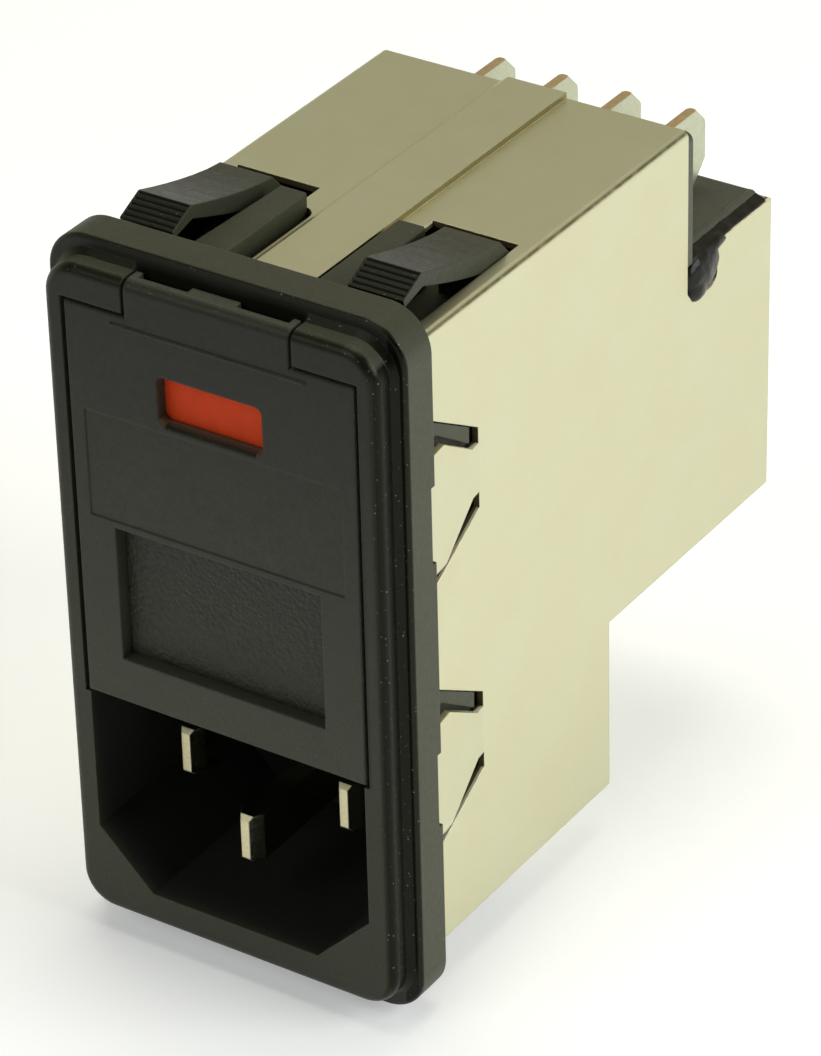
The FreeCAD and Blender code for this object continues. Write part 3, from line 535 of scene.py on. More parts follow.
@dataclass(frozen=True)
class WellBlack(MouldedBlack):
    """Black housing with painted shade in its inlet well and right-hand joint, and a painted dark reflection on a
    strip of its flange.
    """

    well_half_w: float = 12.1
    well_z: Span = (-24.75, -7.9)
    well_shade_colour: Colour = (0.026, 0.027, 0.024)
    mouth_y: Span = (-5.3, -4.6)
    flange_y: Span = (-2.95, -2.85)
    dark_strip_x: Span = (13.55, 14.82)
    dark_strip_share: float = 0.9
    joint_x: Span = (12.0, 12.62)
    joint_z: Span = (-8.1, 24.6)
    joint_shade_share: float = 0.85

    def painted_dark_reflection(self, bench: Bench, turned: bpy.types.NodeSocket) -> bpy.types.NodeSocket:
        """Mask of the rounded corners and of the flange's right-hand strip beside them, both painted dark as a
        painted dark reflection.

        Args:
            bench: Material under construction.
            turned: Mask of the rounded corners.

        Returns:
            Mask of what is painted dark.
        """
        # painted dark reflection on the right-hand strip of the flange
        painted_dark_strip = bench.times(bench.within(0, *self.dark_strip_x, 0.1, signed=True),
                            bench.along(1, *self.flange_y, 1.0, 0.0), bench.faces(2, 0.8, 0.5))
        return bench.math("MAXIMUM", bench.times(turned, self.dark_corner_share), bench.times(painted_dark_strip, self.dark_strip_share))

    def paint_recess_light(self, bench: Bench, base: bpy.types.NodeSocket) -> bpy.types.NodeSocket:
        """Paint shade on the walls of the inlet well and in the right-hand joint beside the cover.

        Args:
            bench: Material under construction.
            base: Colour of the open faces.

        Returns:
            The colour with painted shade in the well and the joint.
        """
        # painted shade inside the inlet well
        painted_well_shade = bench.times(bench.within(0, -1.0, self.well_half_w), bench.within(2, *self.well_z, signed=True),
                           bench.along(1, *self.mouth_y))
        base = bench.mix(painted_well_shade, base, self.well_shade_colour)
        # painted shade in the joint beside the cover, on the right-hand side only
        painted_joint_shade = bench.times(bench.within(0, *self.joint_x, 0.12, signed=True),
                            bench.within(2, *self.joint_z, 0.1, signed=True))
        return bench.mix(bench.times(painted_joint_shade, self.joint_shade_share), base, toned(self.colour, PAINTED_SHADE_KEEP))


@dataclass(frozen=True)
class CoverBlack(MouldedBlack):
    """Black cover with a painted warm reflection of the red insert on its window sill."""

    sill_half_w: float = 4.75
    sill_z: Span = (16.77, 17.57)
    sill_reflection_colour: Colour = (0.15, 0.115, 0.075)

    def paint_recess_light(self, bench: Bench, base: bpy.types.NodeSocket) -> bpy.types.NodeSocket:
        """Paint the red insert's warm reflected light on the sill below the window.

        Args:
            bench: Material under construction.
            base: Colour of the open faces.

        Returns:
            The colour with the painted reflection on its sill.
        """
        # painted reflection of the red insert on the sill
        painted_sill_reflection = bench.times(bench.within(0, -1.0, self.sill_half_w),
                           bench.within(2, *self.sill_z, 0.1, signed=True), bench.faces(2, 0.35, 0.6))
        return bench.mix(painted_sill_reflection, base, self.sill_reflection_colour)


@dataclass(frozen=True)
class TinPlate(Finish):
    """Tin-plated sheet, satin, with a brown trace where the sheet is cut and a painted dark reflection along its
    long folds.
    """

    colour: Colour = (0.655, 0.655, 0.46)
    roughness: float = 0.38
    edge_mm: float = 0.12
    cloud_mm: float = 7.0
    cloud_tint: Colour = (1.0, 0.965, 0.93)
    streak_mm: float = 0.35
    streak_share: float = 0.08
    worn_share: float = 0.35
    fold_shade_share: float = 0.85
    half_w: float = 13.48
    top_z: float = 25.60
    sheet: float = 0.50
    fold: float = 0.60
    fold_shade_half_w: float = 0.10
    burnish_side: float = 0.24
    burnish_top: float = 0.20
    worn_colour: Colour = (0.36, 0.25, 0.10)
    fold_shade_colour: Colour = (0.16, 0.13, 0.05)
    joggle_colour: Colour = (0.36, 0.31, 0.16)
    cut_colour: Colour = (0.13, 0.10, 0.05)
    burnished: Colour = (0.86, 0.80, 0.58)

    def painted_fold_shade(self, bench: Bench) -> bpy.types.NodeSocket:
        """Mask of the painted dark reflection along the middle of each long fold.

        Args:
            bench: Material under construction.

        Returns:
            Mask of the painted dark reflection.
        """
        inset = self.fold * (1.0 - math.sqrt(0.5))
        near = [bench.within(axis, middle - self.fold_shade_half_w, middle + self.fold_shade_half_w, 0.05)
                for axis, middle in ((0, self.half_w - inset), (2, self.top_z - inset))]
        return bench.times(*near, bench.patches(1.5, 0.25, 0.55, 0.45, 1.0))

    def cut_faces(self, bench: Bench) -> Tuple[bpy.types.NodeSocket, bpy.types.NodeSocket]:
        """Masks of the sheet's cut faces and of the burnished outer half of each, with the burnish left out on
        front-facing faces as painted shade.

        Args:
            bench: Material under construction.

        Returns:
            Mask of the cut faces and mask of their outer half, without the front-facing ones.
        """
        under = self.top_z - self.sheet
        in_side = bench.times(bench.within(0, self.half_w - self.sheet, self.half_w + 0.1),
                              bench.faces(0, 0.5, 0.3), bench.within(2, -1.0, under))
        in_top = bench.times(bench.within(2, under, self.top_z + 0.01), bench.faces(2, 0.5, 0.3),
                             bench.within(0, -1.0, self.half_w - self.fold))
        outer_side = bench.within(0, self.half_w - self.burnish_side, self.half_w + 0.1)
        outer_top = bench.within(2, self.top_z - self.burnish_top, self.top_z + 0.1)
        outer = bench.math("MAXIMUM", bench.times(in_side, outer_side), bench.times(in_top, outer_top))
        # painted shade: no burnish on cut faces that look to the front or back
        return bench.math("MAXIMUM", in_side, in_top), bench.times(outer, bench.faces(1, 0.9, 0.6))

    def make(self) -> bpy.types.Material:
        """Build the material.

        Returns:
            The finished material.
        """
        bench = Bench(self.name)
        rounded = bench.rounded(self.edge_mm)
        edge = bench.edge(rounded, 0.12)
        cloud = bench.patches(self.cloud_mm)
        warm = tuple(c * f for c, f in zip(self.colour, self.cloud_tint))
        base = bench.mix(cloud, self.colour, warm)
        streak = bench.ramp(bench.noise(self.streak_mm, 3.0, 0.6, bench.stretched((1.0, 0.03, 1.0))), 0.3, 0.7)
        cut, outer = self.cut_faces(bench)
        joggle = bench.times(bench.within(2, self.top_z + 0.03, self.top_z + 1.0), bench.faces(2, 0.9, 0.6))
        # the fold mask below is a painted dark reflection
        for share, colour in ((bench.times(streak, self.streak_share), toned(self.colour, 0.82)),
                              (bench.times(edge, self.worn_share), self.worn_colour),
                              (bench.times(self.painted_fold_shade(bench), self.fold_shade_share), self.fold_shade_colour),
                              (joggle, self.joggle_colour), (cut, self.cut_colour), (outer, self.burnished)):
            base = bench.mix(share, base, colour)
        rough = bench.ramp(bench.noise(1.6, 4.0, 0.65), 0.3, 0.7, self.roughness - 0.005, self.roughness + 0.02)
        height = bench.math("ADD", bench.times(streak, 0.4), bench.noise(0.12))
        return bench.shade(Base_Color=base, Metallic=bench.ramp(cut, 0.0, 1.0, 1.0, 0.25), Roughness=rough,
                           Normal=bench.bump(height, 0.003, 0.5, rounded))


@dataclass(frozen=True)
class PlatedStrip(Finish):
    """Plated contact strip, stamped, with bare metal on its cut edges."""

    colour: Colour = (0.56, 0.58, 0.42)
    cut: Colour = (0.56, 0.40, 0.21)
    roughness: float = 0.34
    broad_roughness: float = 0.34
    metallic: float = 0.85

    def make(self) -> bpy.types.Material:
        """Build the material.

        Returns:
            The finished material.
        """
        bench = Bench(self.name)
        rounded = bench.rounded(0.13)
        broad = bench.faces(0, 0.35, 0.55)
        grit = bench.noise(0.3, 3.0, 0.6)
        speckle = bench.ramp(grit, 0.3, 0.7)
        plated = bench.mix(speckle, self.colour, toned(self.colour, 0.9))
        bare = bench.mix(speckle, self.cut, toned(self.cut, 1.25))
        lip = bench.edge(rounded, 0.2)
        base = bench.mix(bench.math("MAXIMUM", broad, bench.times(lip, 0.7)), bare, plated)
        lines = bench.noise(0.08, 2.0, 0.5, bench.stretched((1.0, 0.05, 1.0)))
        brushed = bench.times(bench.faces(1, 0.2, 0.4), bench.faces(0, 0.3, 0.15))
        rough = bench.math("ADD", bench.ramp(brushed, 0.0, 1.0, self.broad_roughness, self.roughness),
                           bench.ramp(grit, 0.3, 0.7, -0.04, 0.08))
        return bench.shade(Base_Color=base, Metallic=self.metallic, Roughness=rough,
                           Normal=bench.bump(lines, 0.004, 0.5, rounded))


@dataclass(frozen=True)
class BareMetal(Finish):
    """Plain metal such as spring brass, cap metal, wire or enamelled copper."""

    colour: Colour
    roughness: float = 0.3
    metallic: float = 0.9

    def make(self) -> bpy.types.Material:
        """Build the material.

        Returns:
            The finished material.
        """
        bench = Bench(self.name)
        rounded = bench.rounded(0.06)
        tarnish = bench.ramp(bench.noise(1.2, 4.0, 0.65), 0.35, 0.7)
        base = bench.mix(bench.times(tarnish, 0.5), self.colour, toned(self.colour, 0.7))
        rough = bench.patches(0.4, start=self.roughness - 0.06, end=self.roughness + 0.1)
        return bench.shade(Base_Color=base, Metallic=self.metallic, Roughness=rough,
                           Normal=bench.bump(bench.noise(0.1), 0.004, 0.5, rounded))


@dataclass(frozen=True)
class Lacquer(Finish):
    """Smooth coloured plastic, resin or coating with a light orange peel."""

    colour: Colour
    roughness: float = 0.35
    gloss: float = 0.5
    peel_mm: float = 0.5
    depth_mm: float = 0.01

    def make(self) -> bpy.types.Material:
        """Build the material.

        Returns:
            The finished material.
        """
        bench = Bench(self.name)
        rounded = bench.rounded(0.1)
        cloud = bench.patches(2.2)
        base = bench.mix(cloud, self.colour, toned(self.colour, 0.85))
        rough = bench.ramp(bench.noise(0.6), 0.3, 0.7, self.roughness, self.roughness + 0.1)
        return bench.shade(Base_Color=base, Roughness=rough, Specular_IOR_Level=self.gloss,
                           Normal=bench.bump(bench.noise(self.peel_mm), self.depth_mm, 0.8, rounded))


@dataclass(frozen=True)
class ClearGlass(Finish):
    """Clear glass tube of a fuse."""

    def make(self) -> bpy.types.Material:
        """Build the material.

        Returns:
            The finished material.
        """
        bench = Bench(self.name)
        tint = bench.mix(bench.noise(3.0), (0.93, 0.96, 0.95), (0.97, 0.98, 0.97))
        return bench.shade(Base_Color=tint, Roughness=0.03, Transmission_Weight=0.9, IOR=1.47)


HOUSING = WellBlack("black_spark_plastic", "housing_plastic", dark_corner_share=0.75)
COVER = CoverBlack("black_cover_plastic", "cover_plastic", colour=(0.050, 0.053, 0.037), roughness=0.5,
                   edge_mm=0.26, wear_and_sheen=0.1)
GRIP = MouldedBlack("black_leather_grain", "cover_plastic", colour=(0.029, 0.0315, 0.0205), grain=Grain.LEATHER,
                    roughness=0.44, edge_mm=0.05, wear_and_sheen=0.0, dark_corner_share=0.0)
CARRIER = MouldedBlack("black_carrier_plastic", "carrier_plastic", grain=Grain.FINE, roughness=0.4)
TERMINAL = MouldedBlack("black_terminal_plastic", "terminal_plastic", colour=(0.056, 0.059, 0.041),
                        grain=Grain.FINE, roughness=0.42)
CAN = TinPlate("tin_plate", "tinned_sheet")
BLADE = PlatedStrip("plated_blade", "tinned_brass")
PIN = PlatedStrip("plated_pin", "nickel_contact", colour=(0.42, 0.41, 0.31), cut=(0.60, 0.55, 0.36), roughness=0.42,
                  broad_roughness=0.12, metallic=1.0)
CLIP = BareMetal("spring_brass", "spring_brass", colour=(0.74, 0.55, 0.24))
CAP = BareMetal("fuse_cap_metal", "fuse_cap_metal", colour=(0.68, 0.67, 0.62), roughness=0.22)
STRAND = BareMetal("fuse_strand", "fuse_wire_metal", colour=(0.75, 0.74, 0.72), roughness=0.25)
COPPER = BareMetal("enamelled_copper", "copper_wire", colour=(0.66, 0.27, 0.11), roughness=0.28)
GLASS = ClearGlass("fuse_glass", "fuse_glass")
WINDOW = Lacquer("red_window", "red_insert", colour=(0.80, 0.072, 0.016), roughness=0.45, gloss=0.12)
RESIN = Lacquer("black_resin", "potting_resin", colour=(0.016, 0.0155, 0.011), roughness=0.16, gloss=0.16,
                depth_mm=0.02)
FERRITE = Lacquer("ferrite_grey", "ferrite", colour=(0.05, 0.05, 0.055), roughness=0.5, peel_mm=0.2)
FILM = Lacquer("film_capacitor_yellow", "film_capacitor", colour=(0.62, 0.50, 0.08))
DISC = Lacquer("disc_coating_blue", "disc_coating", colour=(0.04, 0.16, 0.42), roughness=0.3, depth_mm=0.03)
RESISTOR = Lacquer("resistor_lacquer", "resistor_coating", colour=(0.52, 0.38, 0.2))

NODE_FINISHES: Dict[str, Finish] = {
    "front_housing": HOUSING, "drawer_cover": COVER, "window_insert": WINDOW, "fuse_block": CARRIER,
    "can_shell": CAN, "terminal_block": TERMINAL, "potting_compound": RESIN, "choke_core": FERRITE,
    "line_winding": COPPER, "neutral_winding": COPPER, "x_capacitor": FILM, "y_capacitor_left": DISC,
    "y_capacitor_right": DISC, "bleed_resistor": RESISTOR,
}
ENDING_FINISHES: Tuple[Tuple[str, Finish], ...] = (
    ("_pin", PIN), ("_fuse_glass", GLASS), ("_fuse_wire", STRAND), ("_lead", COPPER),
    ("_fuse_cap_left", CAP), ("_fuse_cap_right", CAP), ("_clip_left", CLIP), ("_clip_right", CLIP),
)


class Wardrobe:
    """Makes each finish once and puts it on nodes and pieces."""

    def __init__(self) -> None:
        """Start with no material made."""
        self.made: Dict[str, bpy.types.Material] = {}

    def material(self, finish: Finish) -> bpy.types.Material:
        """Material of a finish, made on first use.

        Args:
            finish: Finish to use.

        Returns:
            Its material.
        """
        if finish.name not in self.made:
            self.made[finish.name] = finish.make()
        return self.made[finish.name]

    def put_on(self, piece: bpy.types.Object, finish: Finish) -> None:
        """Give a piece one finish all over.

        Args:
            piece: Node or new piece.
            finish: Finish to use.
        """
        material = self.material(finish)
        if not piece.material_slots:
            piece.data.materials.append(material)
        for holder in piece.material_slots:
            holder.material = material

    def finish_for(self, node: str) -> Finish:
        """Finish of a node by its name.

        Args:
            node: Name of the node.

        Returns:
            Its finish.
        """
        if node in NODE_FINISHES:
            return NODE_FINISHES[node]
        if node.startswith("blade_"):
            return BLADE
        for ending, finish in ENDING_FINISHES:
            if node.endswith(ending):
                return finish
        raise KeyError(node)


# ---- modelling bench ------------------------------------------------------


class Shop:
    """Operator work on one mesh at a time, as by hand."""

    @staticmethod
    def clear() -> None:
        """Leave edit mode and select nothing."""
        if bpy.context.object is not None and bpy.context.object.mode != "OBJECT":
            bpy.ops.object.mode_set(mode="OBJECT")
        bpy.ops.object.select_all(action="DESELECT")

    @staticmethod
    def only(piece: bpy.types.Object) -> None:
        """Select one piece alone and make it active, in object mode.

        Args:
            piece: Object to work on.
        """
        Shop.clear()
        piece.select_set(True)
        bpy.context.view_layer.objects.active = piece

    @staticmethod
    def block(name: str, low: Point, high: Point) -> bpy.types.Object:
        """Block between two corners, in millimetres.

        Args:
            name: Name of the piece.
            low: Lowest corner.
            high: Highest corner.

        Returns:
            The new object.
        """
        Shop.clear()
        middle = tuple((a + b) / 2 * MM for a, b in zip(low, high))
        bpy.ops.mesh.primitive_cube_add(size=1.0, location=middle)
        piece = bpy.context.object
        piece.name = name
        piece.scale = tuple((b - a) * MM for a, b in zip(low, high))
        Shop.settle(piece)
        return piece

    @staticmethod
    def settle(piece: bpy.types.Object) -> None:
        """Put a piece's place, turn and scale into its mesh.

        Args:
            piece: Object to settle.
        """
        Shop.only(piece)
        bpy.ops.object.transform_apply(location=True, rotation=True, scale=True)

    @staticmethod
    def edit(piece: bpy.types.Object, kind: str, chosen: Callable[[object], bool]) -> None:
        """Enter edit mode and select elements in code; the next step of the shop leaves it.

        Args:
            piece: Object to edit.
            kind: VERT, EDGE or FACE.
            chosen: Test that an element passes.
        """
        Shop.only(piece)
        bpy.ops.object.mode_set(mode="EDIT")
        bpy.ops.mesh.select_mode(type=kind)
        bpy.ops.mesh.select_all(action="DESELECT")
        data = bmesh.from_edit_mesh(piece.data)
        pools = {"VERT": data.verts, "EDGE": data.edges, "FACE": data.faces}
        for element in pools[kind]:
            if chosen(element):
                element.select_set(True)
        data.select_flush_mode()
        bmesh.update_edit_mesh(piece.data)

    @staticmethod
    def apply(piece: bpy.types.Object) -> None:
        """Apply every modifier of a piece.

        Args:
            piece: Object with modifiers.
        """
        Shop.only(piece)
        for modifier in list(piece.modifiers):
            bpy.ops.object.modifier_apply(modifier=modifier.name)

    @staticmethod
    def displace(piece: bpy.types.Object, name: str, texture: bpy.types.Texture, depth_mm: float,
                 middle: float) -> bpy.types.Modifier:
        """Add a displacement by a texture on local coordinates.

        Args:
            piece: Object to displace.
            name: Name of the modifier.
            texture: Texture that gives the height.
            depth_mm: Depth of the relief in millimetres.
            middle: Texture value that stays in place.

        Returns:
            The modifier.
        """
        push = piece.modifiers.new(name, "DISPLACE")
        push.texture = texture
        push.texture_coords = "LOCAL"
        push.strength = depth_mm * MM
        push.mid_level = middle
        return push

    @staticmethod
    def smooth(piece: bpy.types.Object, degrees: float) -> None:
        """Shade a piece smooth but for its sharp edges.

        Args:
            piece: Object to shade.
            degrees: Angle above which an edge stays sharp.
        """
        Shop.only(piece)
        bpy.ops.object.shade_smooth_by_angle(angle=math.radians(degrees))

    @staticmethod
    def merge(pieces: Sequence[bpy.types.Object], name: str) -> bpy.types.Object:
        """Join pieces into one object.

        Args:
            pieces: Objects to join.
            name: Name of the result.

        Returns:
            The joined object.
        """
        Shop.clear()
        for piece in pieces:
            piece.select_set(True)
        bpy.context.view_layer.objects.active = pieces[0]
        bpy.ops.object.join()
        joined = bpy.context.object
        joined.name = name
        return joined


# ---- sub-assemblies -------------------------------------------------------


@dataclass
class DrawerFront:
    """Cover of the fuse drawer with its leather-grained grip."""

    wardrobe: Wardrobe
    grip_half_w: float = 8.83
    grip_bottom: float = -4.24
    grip_top: float = 6.90
    floor_y: float = -4.25
    margin: float = 0.06
    pad_y: Span = (0.12, 0.01)
    rim_mm: float = 0.05
    cuts: int = 7
    levels: int = 4
    hide_mm: float = 0.5
    press_mm: float = 0.02

    def grip_pad(self) -> bpy.types.Object:
        """Leather-grained floor of the grip recess.

        Returns:
            The pad.
        """
        half_w = self.grip_half_w - self.margin
        low = (-half_w, self.floor_y - self.pad_y[0], self.grip_bottom + self.margin)
        high = (half_w, self.floor_y - self.pad_y[1], self.grip_top - self.margin)
        pad = Shop.block("grip_leather", low, high)
        front = (self.floor_y - 0.1) * MM
        Shop.edit(pad, "EDGE", lambda e: all(v.co.y < front for v in e.verts))
        bpy.ops.mesh.bevel(offset=self.rim_mm * MM, segments=3, profile=0.5)
        Shop.edit(pad, "FACE", lambda f: f.normal.y < -0.9)
        bpy.ops.mesh.subdivide(number_cuts=self.cuts)
        Shop.clear()
        divide = pad.modifiers.new("divide", "SUBSURF")
        divide.subdivision_type = "SIMPLE"
        divide.levels = divide.render_levels = self.levels
        hide = bpy.data.textures.new("hide_grain", "VORONOI")
        hide.noise_scale = self.hide_mm * MM
        hide.distance_metric = "DISTANCE_SQUARED"
        press = Shop.displace(pad, "press", hide, self.press_mm, 0.3)
        press.direction = "Y"
        Shop.apply(pad)
        Shop.smooth(pad, 60.0)
        return pad

    def build(self) -> List[bpy.types.Object]:
        """Build and dress the front's own pieces.

        Returns:
            The new pieces.
        """
        pad = self.grip_pad()
        self.wardrobe.put_on(pad, GRIP)
        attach(pad, Body.DRAWER.value)
        return [pad]


@dataclass
class ShelfResin:
    """Glossy resin between the lid and the sheet, with a drop in each notch."""

    wardrobe: Wardrobe
    lid_half_w: float = 12.40
    sheet_inner: float = 12.98
    lid_top: float = 15.20
    shelf_z: float = 14.40
    start_y: float = 37.82
    end_y: float = 48.9
    pools: Tuple[Tuple[Point, Point], ...] = (
        ((13.15, 39.5, 12.85), (0.78, 2.5, 1.75)),
        ((13.15, 38.65, 11.75), (0.72, 1.4, 1.2)),
        ((13.05, 41.5, 14.2), (0.6, 1.8, 0.6)),
    )
    run_x: Span = (-0.2, 0.42)
    run_z: Span = (-0.75, 0.22)
    climb: float = 0.35
    voxel_mm: float = 0.09
    sways: Tuple[Tuple[str, float, float], ...] = (("resin_sway", 1.7, 0.24), ("resin_ripple", 0.7, 0.08))
    ease_rounds: int = 14
    lip_x: Span = (-0.5, 0.12)
    lip_z: Span = (-0.6, 0.07)
    lip_short: float = 0.15
    lip_round: float = 0.29

    def pool(self, middle: Point, radii: Point) -> bpy.types.Object:
        """Rounded pool of resin.

        Args:
            middle: Its middle.
            radii: Its radii along X, Y and Z.

        Returns:
            The pool.
        """
        Shop.clear()
        bpy.ops.mesh.primitive_uv_sphere_add(segments=32, ring_count=16, radius=1.0,
                                             location=tuple(c * MM for c in middle))
        pool = bpy.context.object
        pool.scale = tuple(r * MM for r in radii)
        Shop.settle(pool)
        return pool

    def seam(self, side: int) -> bpy.types.Object:
        """Bead along one side of the lid with its drop in the notch.

        Args:
            side: 1 for the right, -1 for the left.

        Returns:
            The bead.
        """
        run = Shop.block("resin_run", (self.lid_half_w + self.run_x[0], self.start_y, self.shelf_z + self.run_z[0]),
                         (self.sheet_inner + self.run_x[1], self.end_y, self.shelf_z + self.run_z[1]))
        inner = (self.lid_half_w - 0.1) * MM
        top = self.shelf_z * MM
        Shop.edit(run, "VERT", lambda v: v.co.x < inner and v.co.z > top)
        bpy.ops.transform.translate(value=(0.0, 0.0, self.climb * MM))
        pools = [self.pool(middle, radii) for middle, radii in self.pools]
        bead = Shop.merge([run] + pools, "resin_bead_right" if side > 0 else "resin_bead_left")
        remesh = bead.modifiers.new("flow", "REMESH")
        remesh.mode = "VOXEL"
        remesh.voxel_size = self.voxel_mm * MM
        for name, size, depth in self.sways:
            sway = bpy.data.textures.new(name, "CLOUDS")
            sway.noise_scale = size * MM
            Shop.displace(bead, name, sway, depth, 0.5)
        ease = bead.modifiers.new("ease", "SMOOTH")
        ease.iterations = self.ease_rounds
        ease.factor = 0.5
        Shop.apply(bead)
        if side < 0:
            bead.scale.x = -1.0
            Shop.settle(bead)
            Shop.edit(bead, "FACE", lambda f: True)
            bpy.ops.mesh.normals_make_consistent(inside=False)
        Shop.smooth(bead, 80.0)
        return bead

    def lip(self, side: int) -> bpy.types.Object:
        """Rounded moulded lip along one side of the lid.

        Args:
            side: 1 for the right, -1 for the left.

        Returns:
            The lip.
        """
        low, high = sorted(side * (self.lid_half_w + offset) for offset in self.lip_x)
        bottom, top = (self.lid_top + offset for offset in self.lip_z)
        lip = Shop.block("lid_lip_right" if side > 0 else "lid_lip_left",
                         (low, self.start_y, bottom), (high, self.end_y - self.lip_short, top))
        height = (self.lid_top - 0.3) * MM
        Shop.edit(lip, "EDGE", lambda e: all(v.co.z > height for v in e.verts))
        bpy.ops.mesh.bevel(offset=self.lip_round * MM, segments=6, profile=0.5)
        Shop.smooth(lip, 50.0)
        return lip

    def build(self) -> List[bpy.types.Object]:
        """Build and dress both beads and lips.

        Returns:
            The new pieces.
        """
        pieces = []
        for side in (1, -1):
            for piece, finish in ((self.seam(side), RESIN), (self.lip(side), TERMINAL)):
                self.wardrobe.put_on(piece, finish)
                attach(piece, Body.MODULE.value)
                pieces.append(piece)
        return pieces


# ---- studio ---------------------------------------------------------------


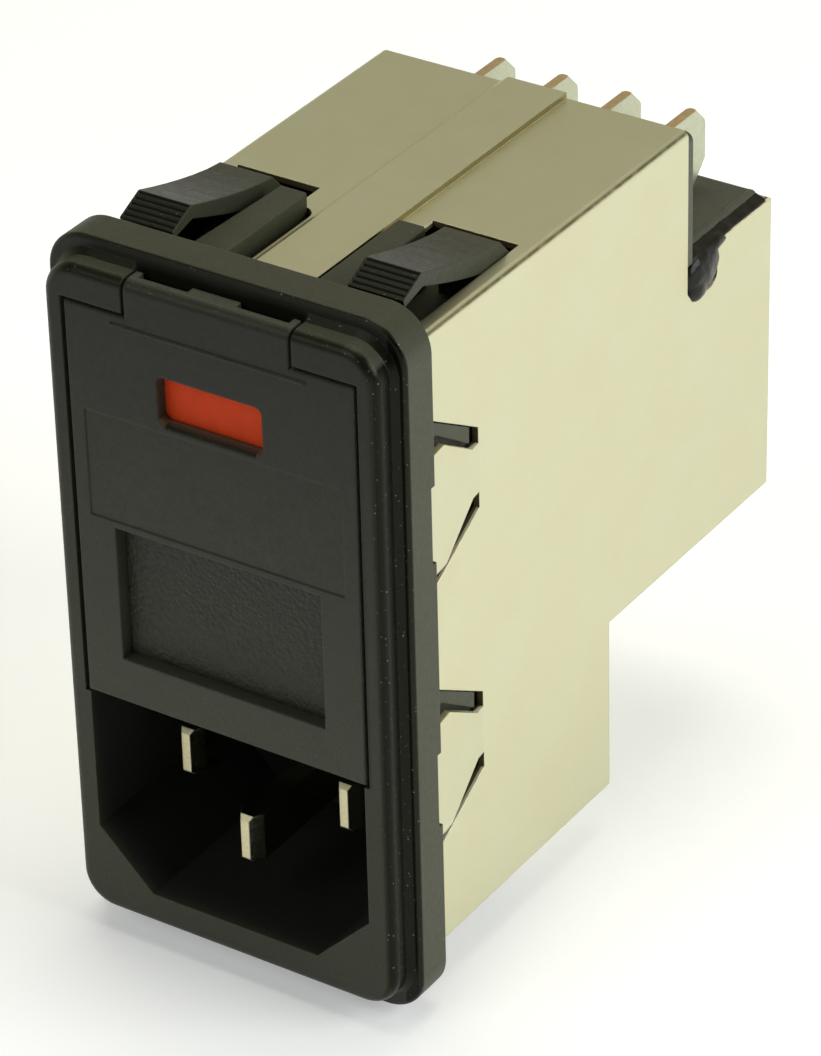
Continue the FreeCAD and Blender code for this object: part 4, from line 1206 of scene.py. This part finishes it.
@dataclass
class Studio:
    """Floor, soft lights and the camera at the photograph's angle."""

    floor_z: float = -29.6
    azimuth: float = 33.879
    elevation: float = 31.652
    roll: float = -1.536
    place: Point = (178.4, -246.5, 193.95)
    lens: float = 171.12
    dark_side: Point = (0.25, -0.80, 0.45)
    sky: Tuple[Tuple[float, Colour], ...] = ((0.0, (0.93, 0.94, 0.85)), (1.0, (0.42, 0.41, 0.34)),
                                             (0.35, (0.47, 0.44, 0.34)))
    lamps: Tuple[Tuple[str, Point, float, float, Colour], ...] = (
        ("key_right", (600.0, 130.0, 330.0), 420.0, 3.05, (0.97, 0.99, 1.02)),
        ("top_soft", (-60.0, 120.0, 700.0), 480.0, 2.42, (1.0, 0.985, 0.86)),
        ("front_fill", (-190.0, -520.0, 430.0), 420.0, 1.1, (0.97, 1.0, 0.96)),
    )
    aim_y: float = 15.0
    floor_size: float = 6.0
    glow_from: Span = (0.35, 1.4)
    glow_power: Span = (0.32, 0.85)
    lit: Tuple[Tuple[str, float], ...] = (("From Min", -0.35), ("From Max", 0.6), ("To Min", 1.0), ("To Max", 0.06))
    room_power: float = 0.8

    def camera(self) -> None:
        """Camera at the photograph's place, turn and lens."""
        az, el, roll = (math.radians(a) for a in (self.azimuth, self.elevation, self.roll))
        back = Vector((math.sin(az) * math.cos(el), -math.cos(az) * math.cos(el), math.sin(el)))
        right = Vector((math.cos(az), math.sin(az), 0.0))
        up = back.cross(right)
        axis_x = right * math.cos(roll) + up * math.sin(roll)
        axis_y = up * math.cos(roll) - right * math.sin(roll)
        data = bpy.data.cameras.new("photo_camera")
        data.sensor_fit = "AUTO"
        data.sensor_width = 36.0
        data.lens = self.lens
        data.clip_start = 0.01
        data.clip_end = 20.0
        camera = bpy.data.objects.new("photo_camera", data)
        bpy.context.scene.collection.objects.link(camera)
        turn = Matrix((axis_x, axis_y, back)).transposed().to_4x4()
        camera.matrix_world = Matrix.Translation(Vector(self.place) * MM) @ turn
        bpy.context.scene.camera = camera

    def floor(self) -> None:
        """Pale floor that keeps the object's shadow."""
        Shop.clear()
        bpy.ops.mesh.primitive_plane_add(size=self.floor_size, location=(0.0, 0.0, self.floor_z * MM))
        floor = bpy.context.object
        floor.name = "studio_floor"
        bench = Bench("floor_white")
        paper = bench.node("ShaderNodeBsdfDiffuse", Color=(0.86, 0.86, 0.85))
        away = bench.nodes.new("ShaderNodeVectorMath")
        away.operation = "LENGTH"
        bench.links.new(bench.place, away.inputs[0])
        glow = bench.node("ShaderNodeEmission", Color=(0.96, 0.98, 1.0),
                          Strength=bench.ramp(away.outputs["Value"], *self.glow_from, *self.glow_power))
        both = bench.node("ShaderNodeAddShader")
        bench.links.new(paper.outputs[0], both.inputs[0])
        bench.links.new(glow.outputs[0], both.inputs[1])
        path = bench.nodes.new("ShaderNodeLightPath")
        seen = bench.math("MAXIMUM", bench.math("MAXIMUM", path.outputs["Is Camera Ray"],
                                                path.outputs["Is Glossy Ray"]), path.outputs["Is Transmission Ray"])
        mix = bench.nodes.new("ShaderNodeMixShader")
        bench.links.new(seen, mix.inputs[0])
        bench.links.new(paper.outputs[0], mix.inputs[1])
        bench.links.new(both.outputs[0], mix.inputs[2])
        bench.links.new(mix.outputs[0], bench.output.inputs["Surface"])
        floor.data.materials.append(bench.material)

    def light(self) -> None:
        """Soft lamps and a pale world that is darker overhead."""
        for name, place, size, power, colour in self.lamps:
            data = bpy.data.lights.new(name, "AREA")
            data.shape = "SQUARE"
            data.size = size * MM
            data.energy = power
            data.color = colour
            lamp = bpy.data.objects.new(name, data)
            bpy.context.scene.collection.objects.link(lamp)
            lamp.location = Vector(place) * MM
            aim = Vector((0.0, self.aim_y * MM, 0.0)) - lamp.location
            lamp.rotation_euler = aim.to_track_quat("-Z", "Y").to_euler()
        self.room()

    def room(self) -> None:
        """World that is pale at the back and dark around the photographer."""
        world = bpy.data.worlds.new("pale_room")
        bpy.context.scene.world = world
        world.use_nodes = True
        nodes, links = world.node_tree.nodes, world.node_tree.links
        nodes.clear()
        output = nodes.new("ShaderNodeOutputWorld")
        background = nodes.new("ShaderNodeBackground")
        direction = nodes.new("ShaderNodeTexCoord")
        split = nodes.new("ShaderNodeSeparateXYZ")
        links.new(direction.outputs["Generated"], split.inputs[0])
        height = nodes.new("ShaderNodeValToRGB")
        for index, (place, colour) in enumerate(self.sky):
            stop = height.color_ramp.elements[index] if index < 2 else height.color_ramp.elements.new(place)
            stop.position, stop.color = place, (*colour, 1.0)
        links.new(split.outputs["Z"], height.inputs[0])
        aim = nodes.new("ShaderNodeVectorMath")
        aim.operation = "DOT_PRODUCT"
        links.new(direction.outputs["Generated"], aim.inputs[0])
        aim.inputs[1].default_value = Vector(self.dark_side).normalized()
        shade = nodes.new("ShaderNodeMapRange")
        shade.interpolation_type = "SMOOTHSTEP"
        for socket, value in self.lit:
            shade.inputs[socket].default_value = value
        links.new(aim.outputs["Value"], shade.inputs["Value"])
        power = nodes.new("ShaderNodeMath")
        power.operation = "MULTIPLY"
        power.inputs[1].default_value = self.room_power
        links.new(shade.outputs["Result"], power.inputs[0])
        links.new(height.outputs["Color"], background.inputs["Color"])
        links.new(power.outputs[0], background.inputs["Strength"])
        links.new(background.outputs[0], output.inputs["Surface"])

    def build(self) -> None:
        """Set up camera, floor, lights and the plain view transform."""
        bpy.context.scene.view_settings.view_transform = "Standard"
        self.camera()
        self.floor()
        self.light()


def dress_nodes(nodes: Dict[str, bpy.types.Object], wardrobe: Wardrobe) -> None:
    """Give every carried-over node its finish.

    Args:
        nodes: Nodes by name.
        wardrobe: Maker of the materials.
    """
    for name, node in nodes.items():
        wardrobe.put_on(node, wardrobe.finish_for(name))
    LOG.info("dressed %d nodes", len(nodes))


def main() -> None:
    """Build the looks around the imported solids."""
    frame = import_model()
    Studio().build()
    wardrobe = Wardrobe()
    dress_nodes(frame["nodes"], wardrobe)
    for assembly in (DrawerFront(wardrobe), ShelfResin(wardrobe)):
        pieces = assembly.build()
        LOG.info("%s: %s", type(assembly).__name__, ", ".join(p.name for p in pieces))
    bpy.context.view_layer.update()


if __name__ == "__main__":
    main()
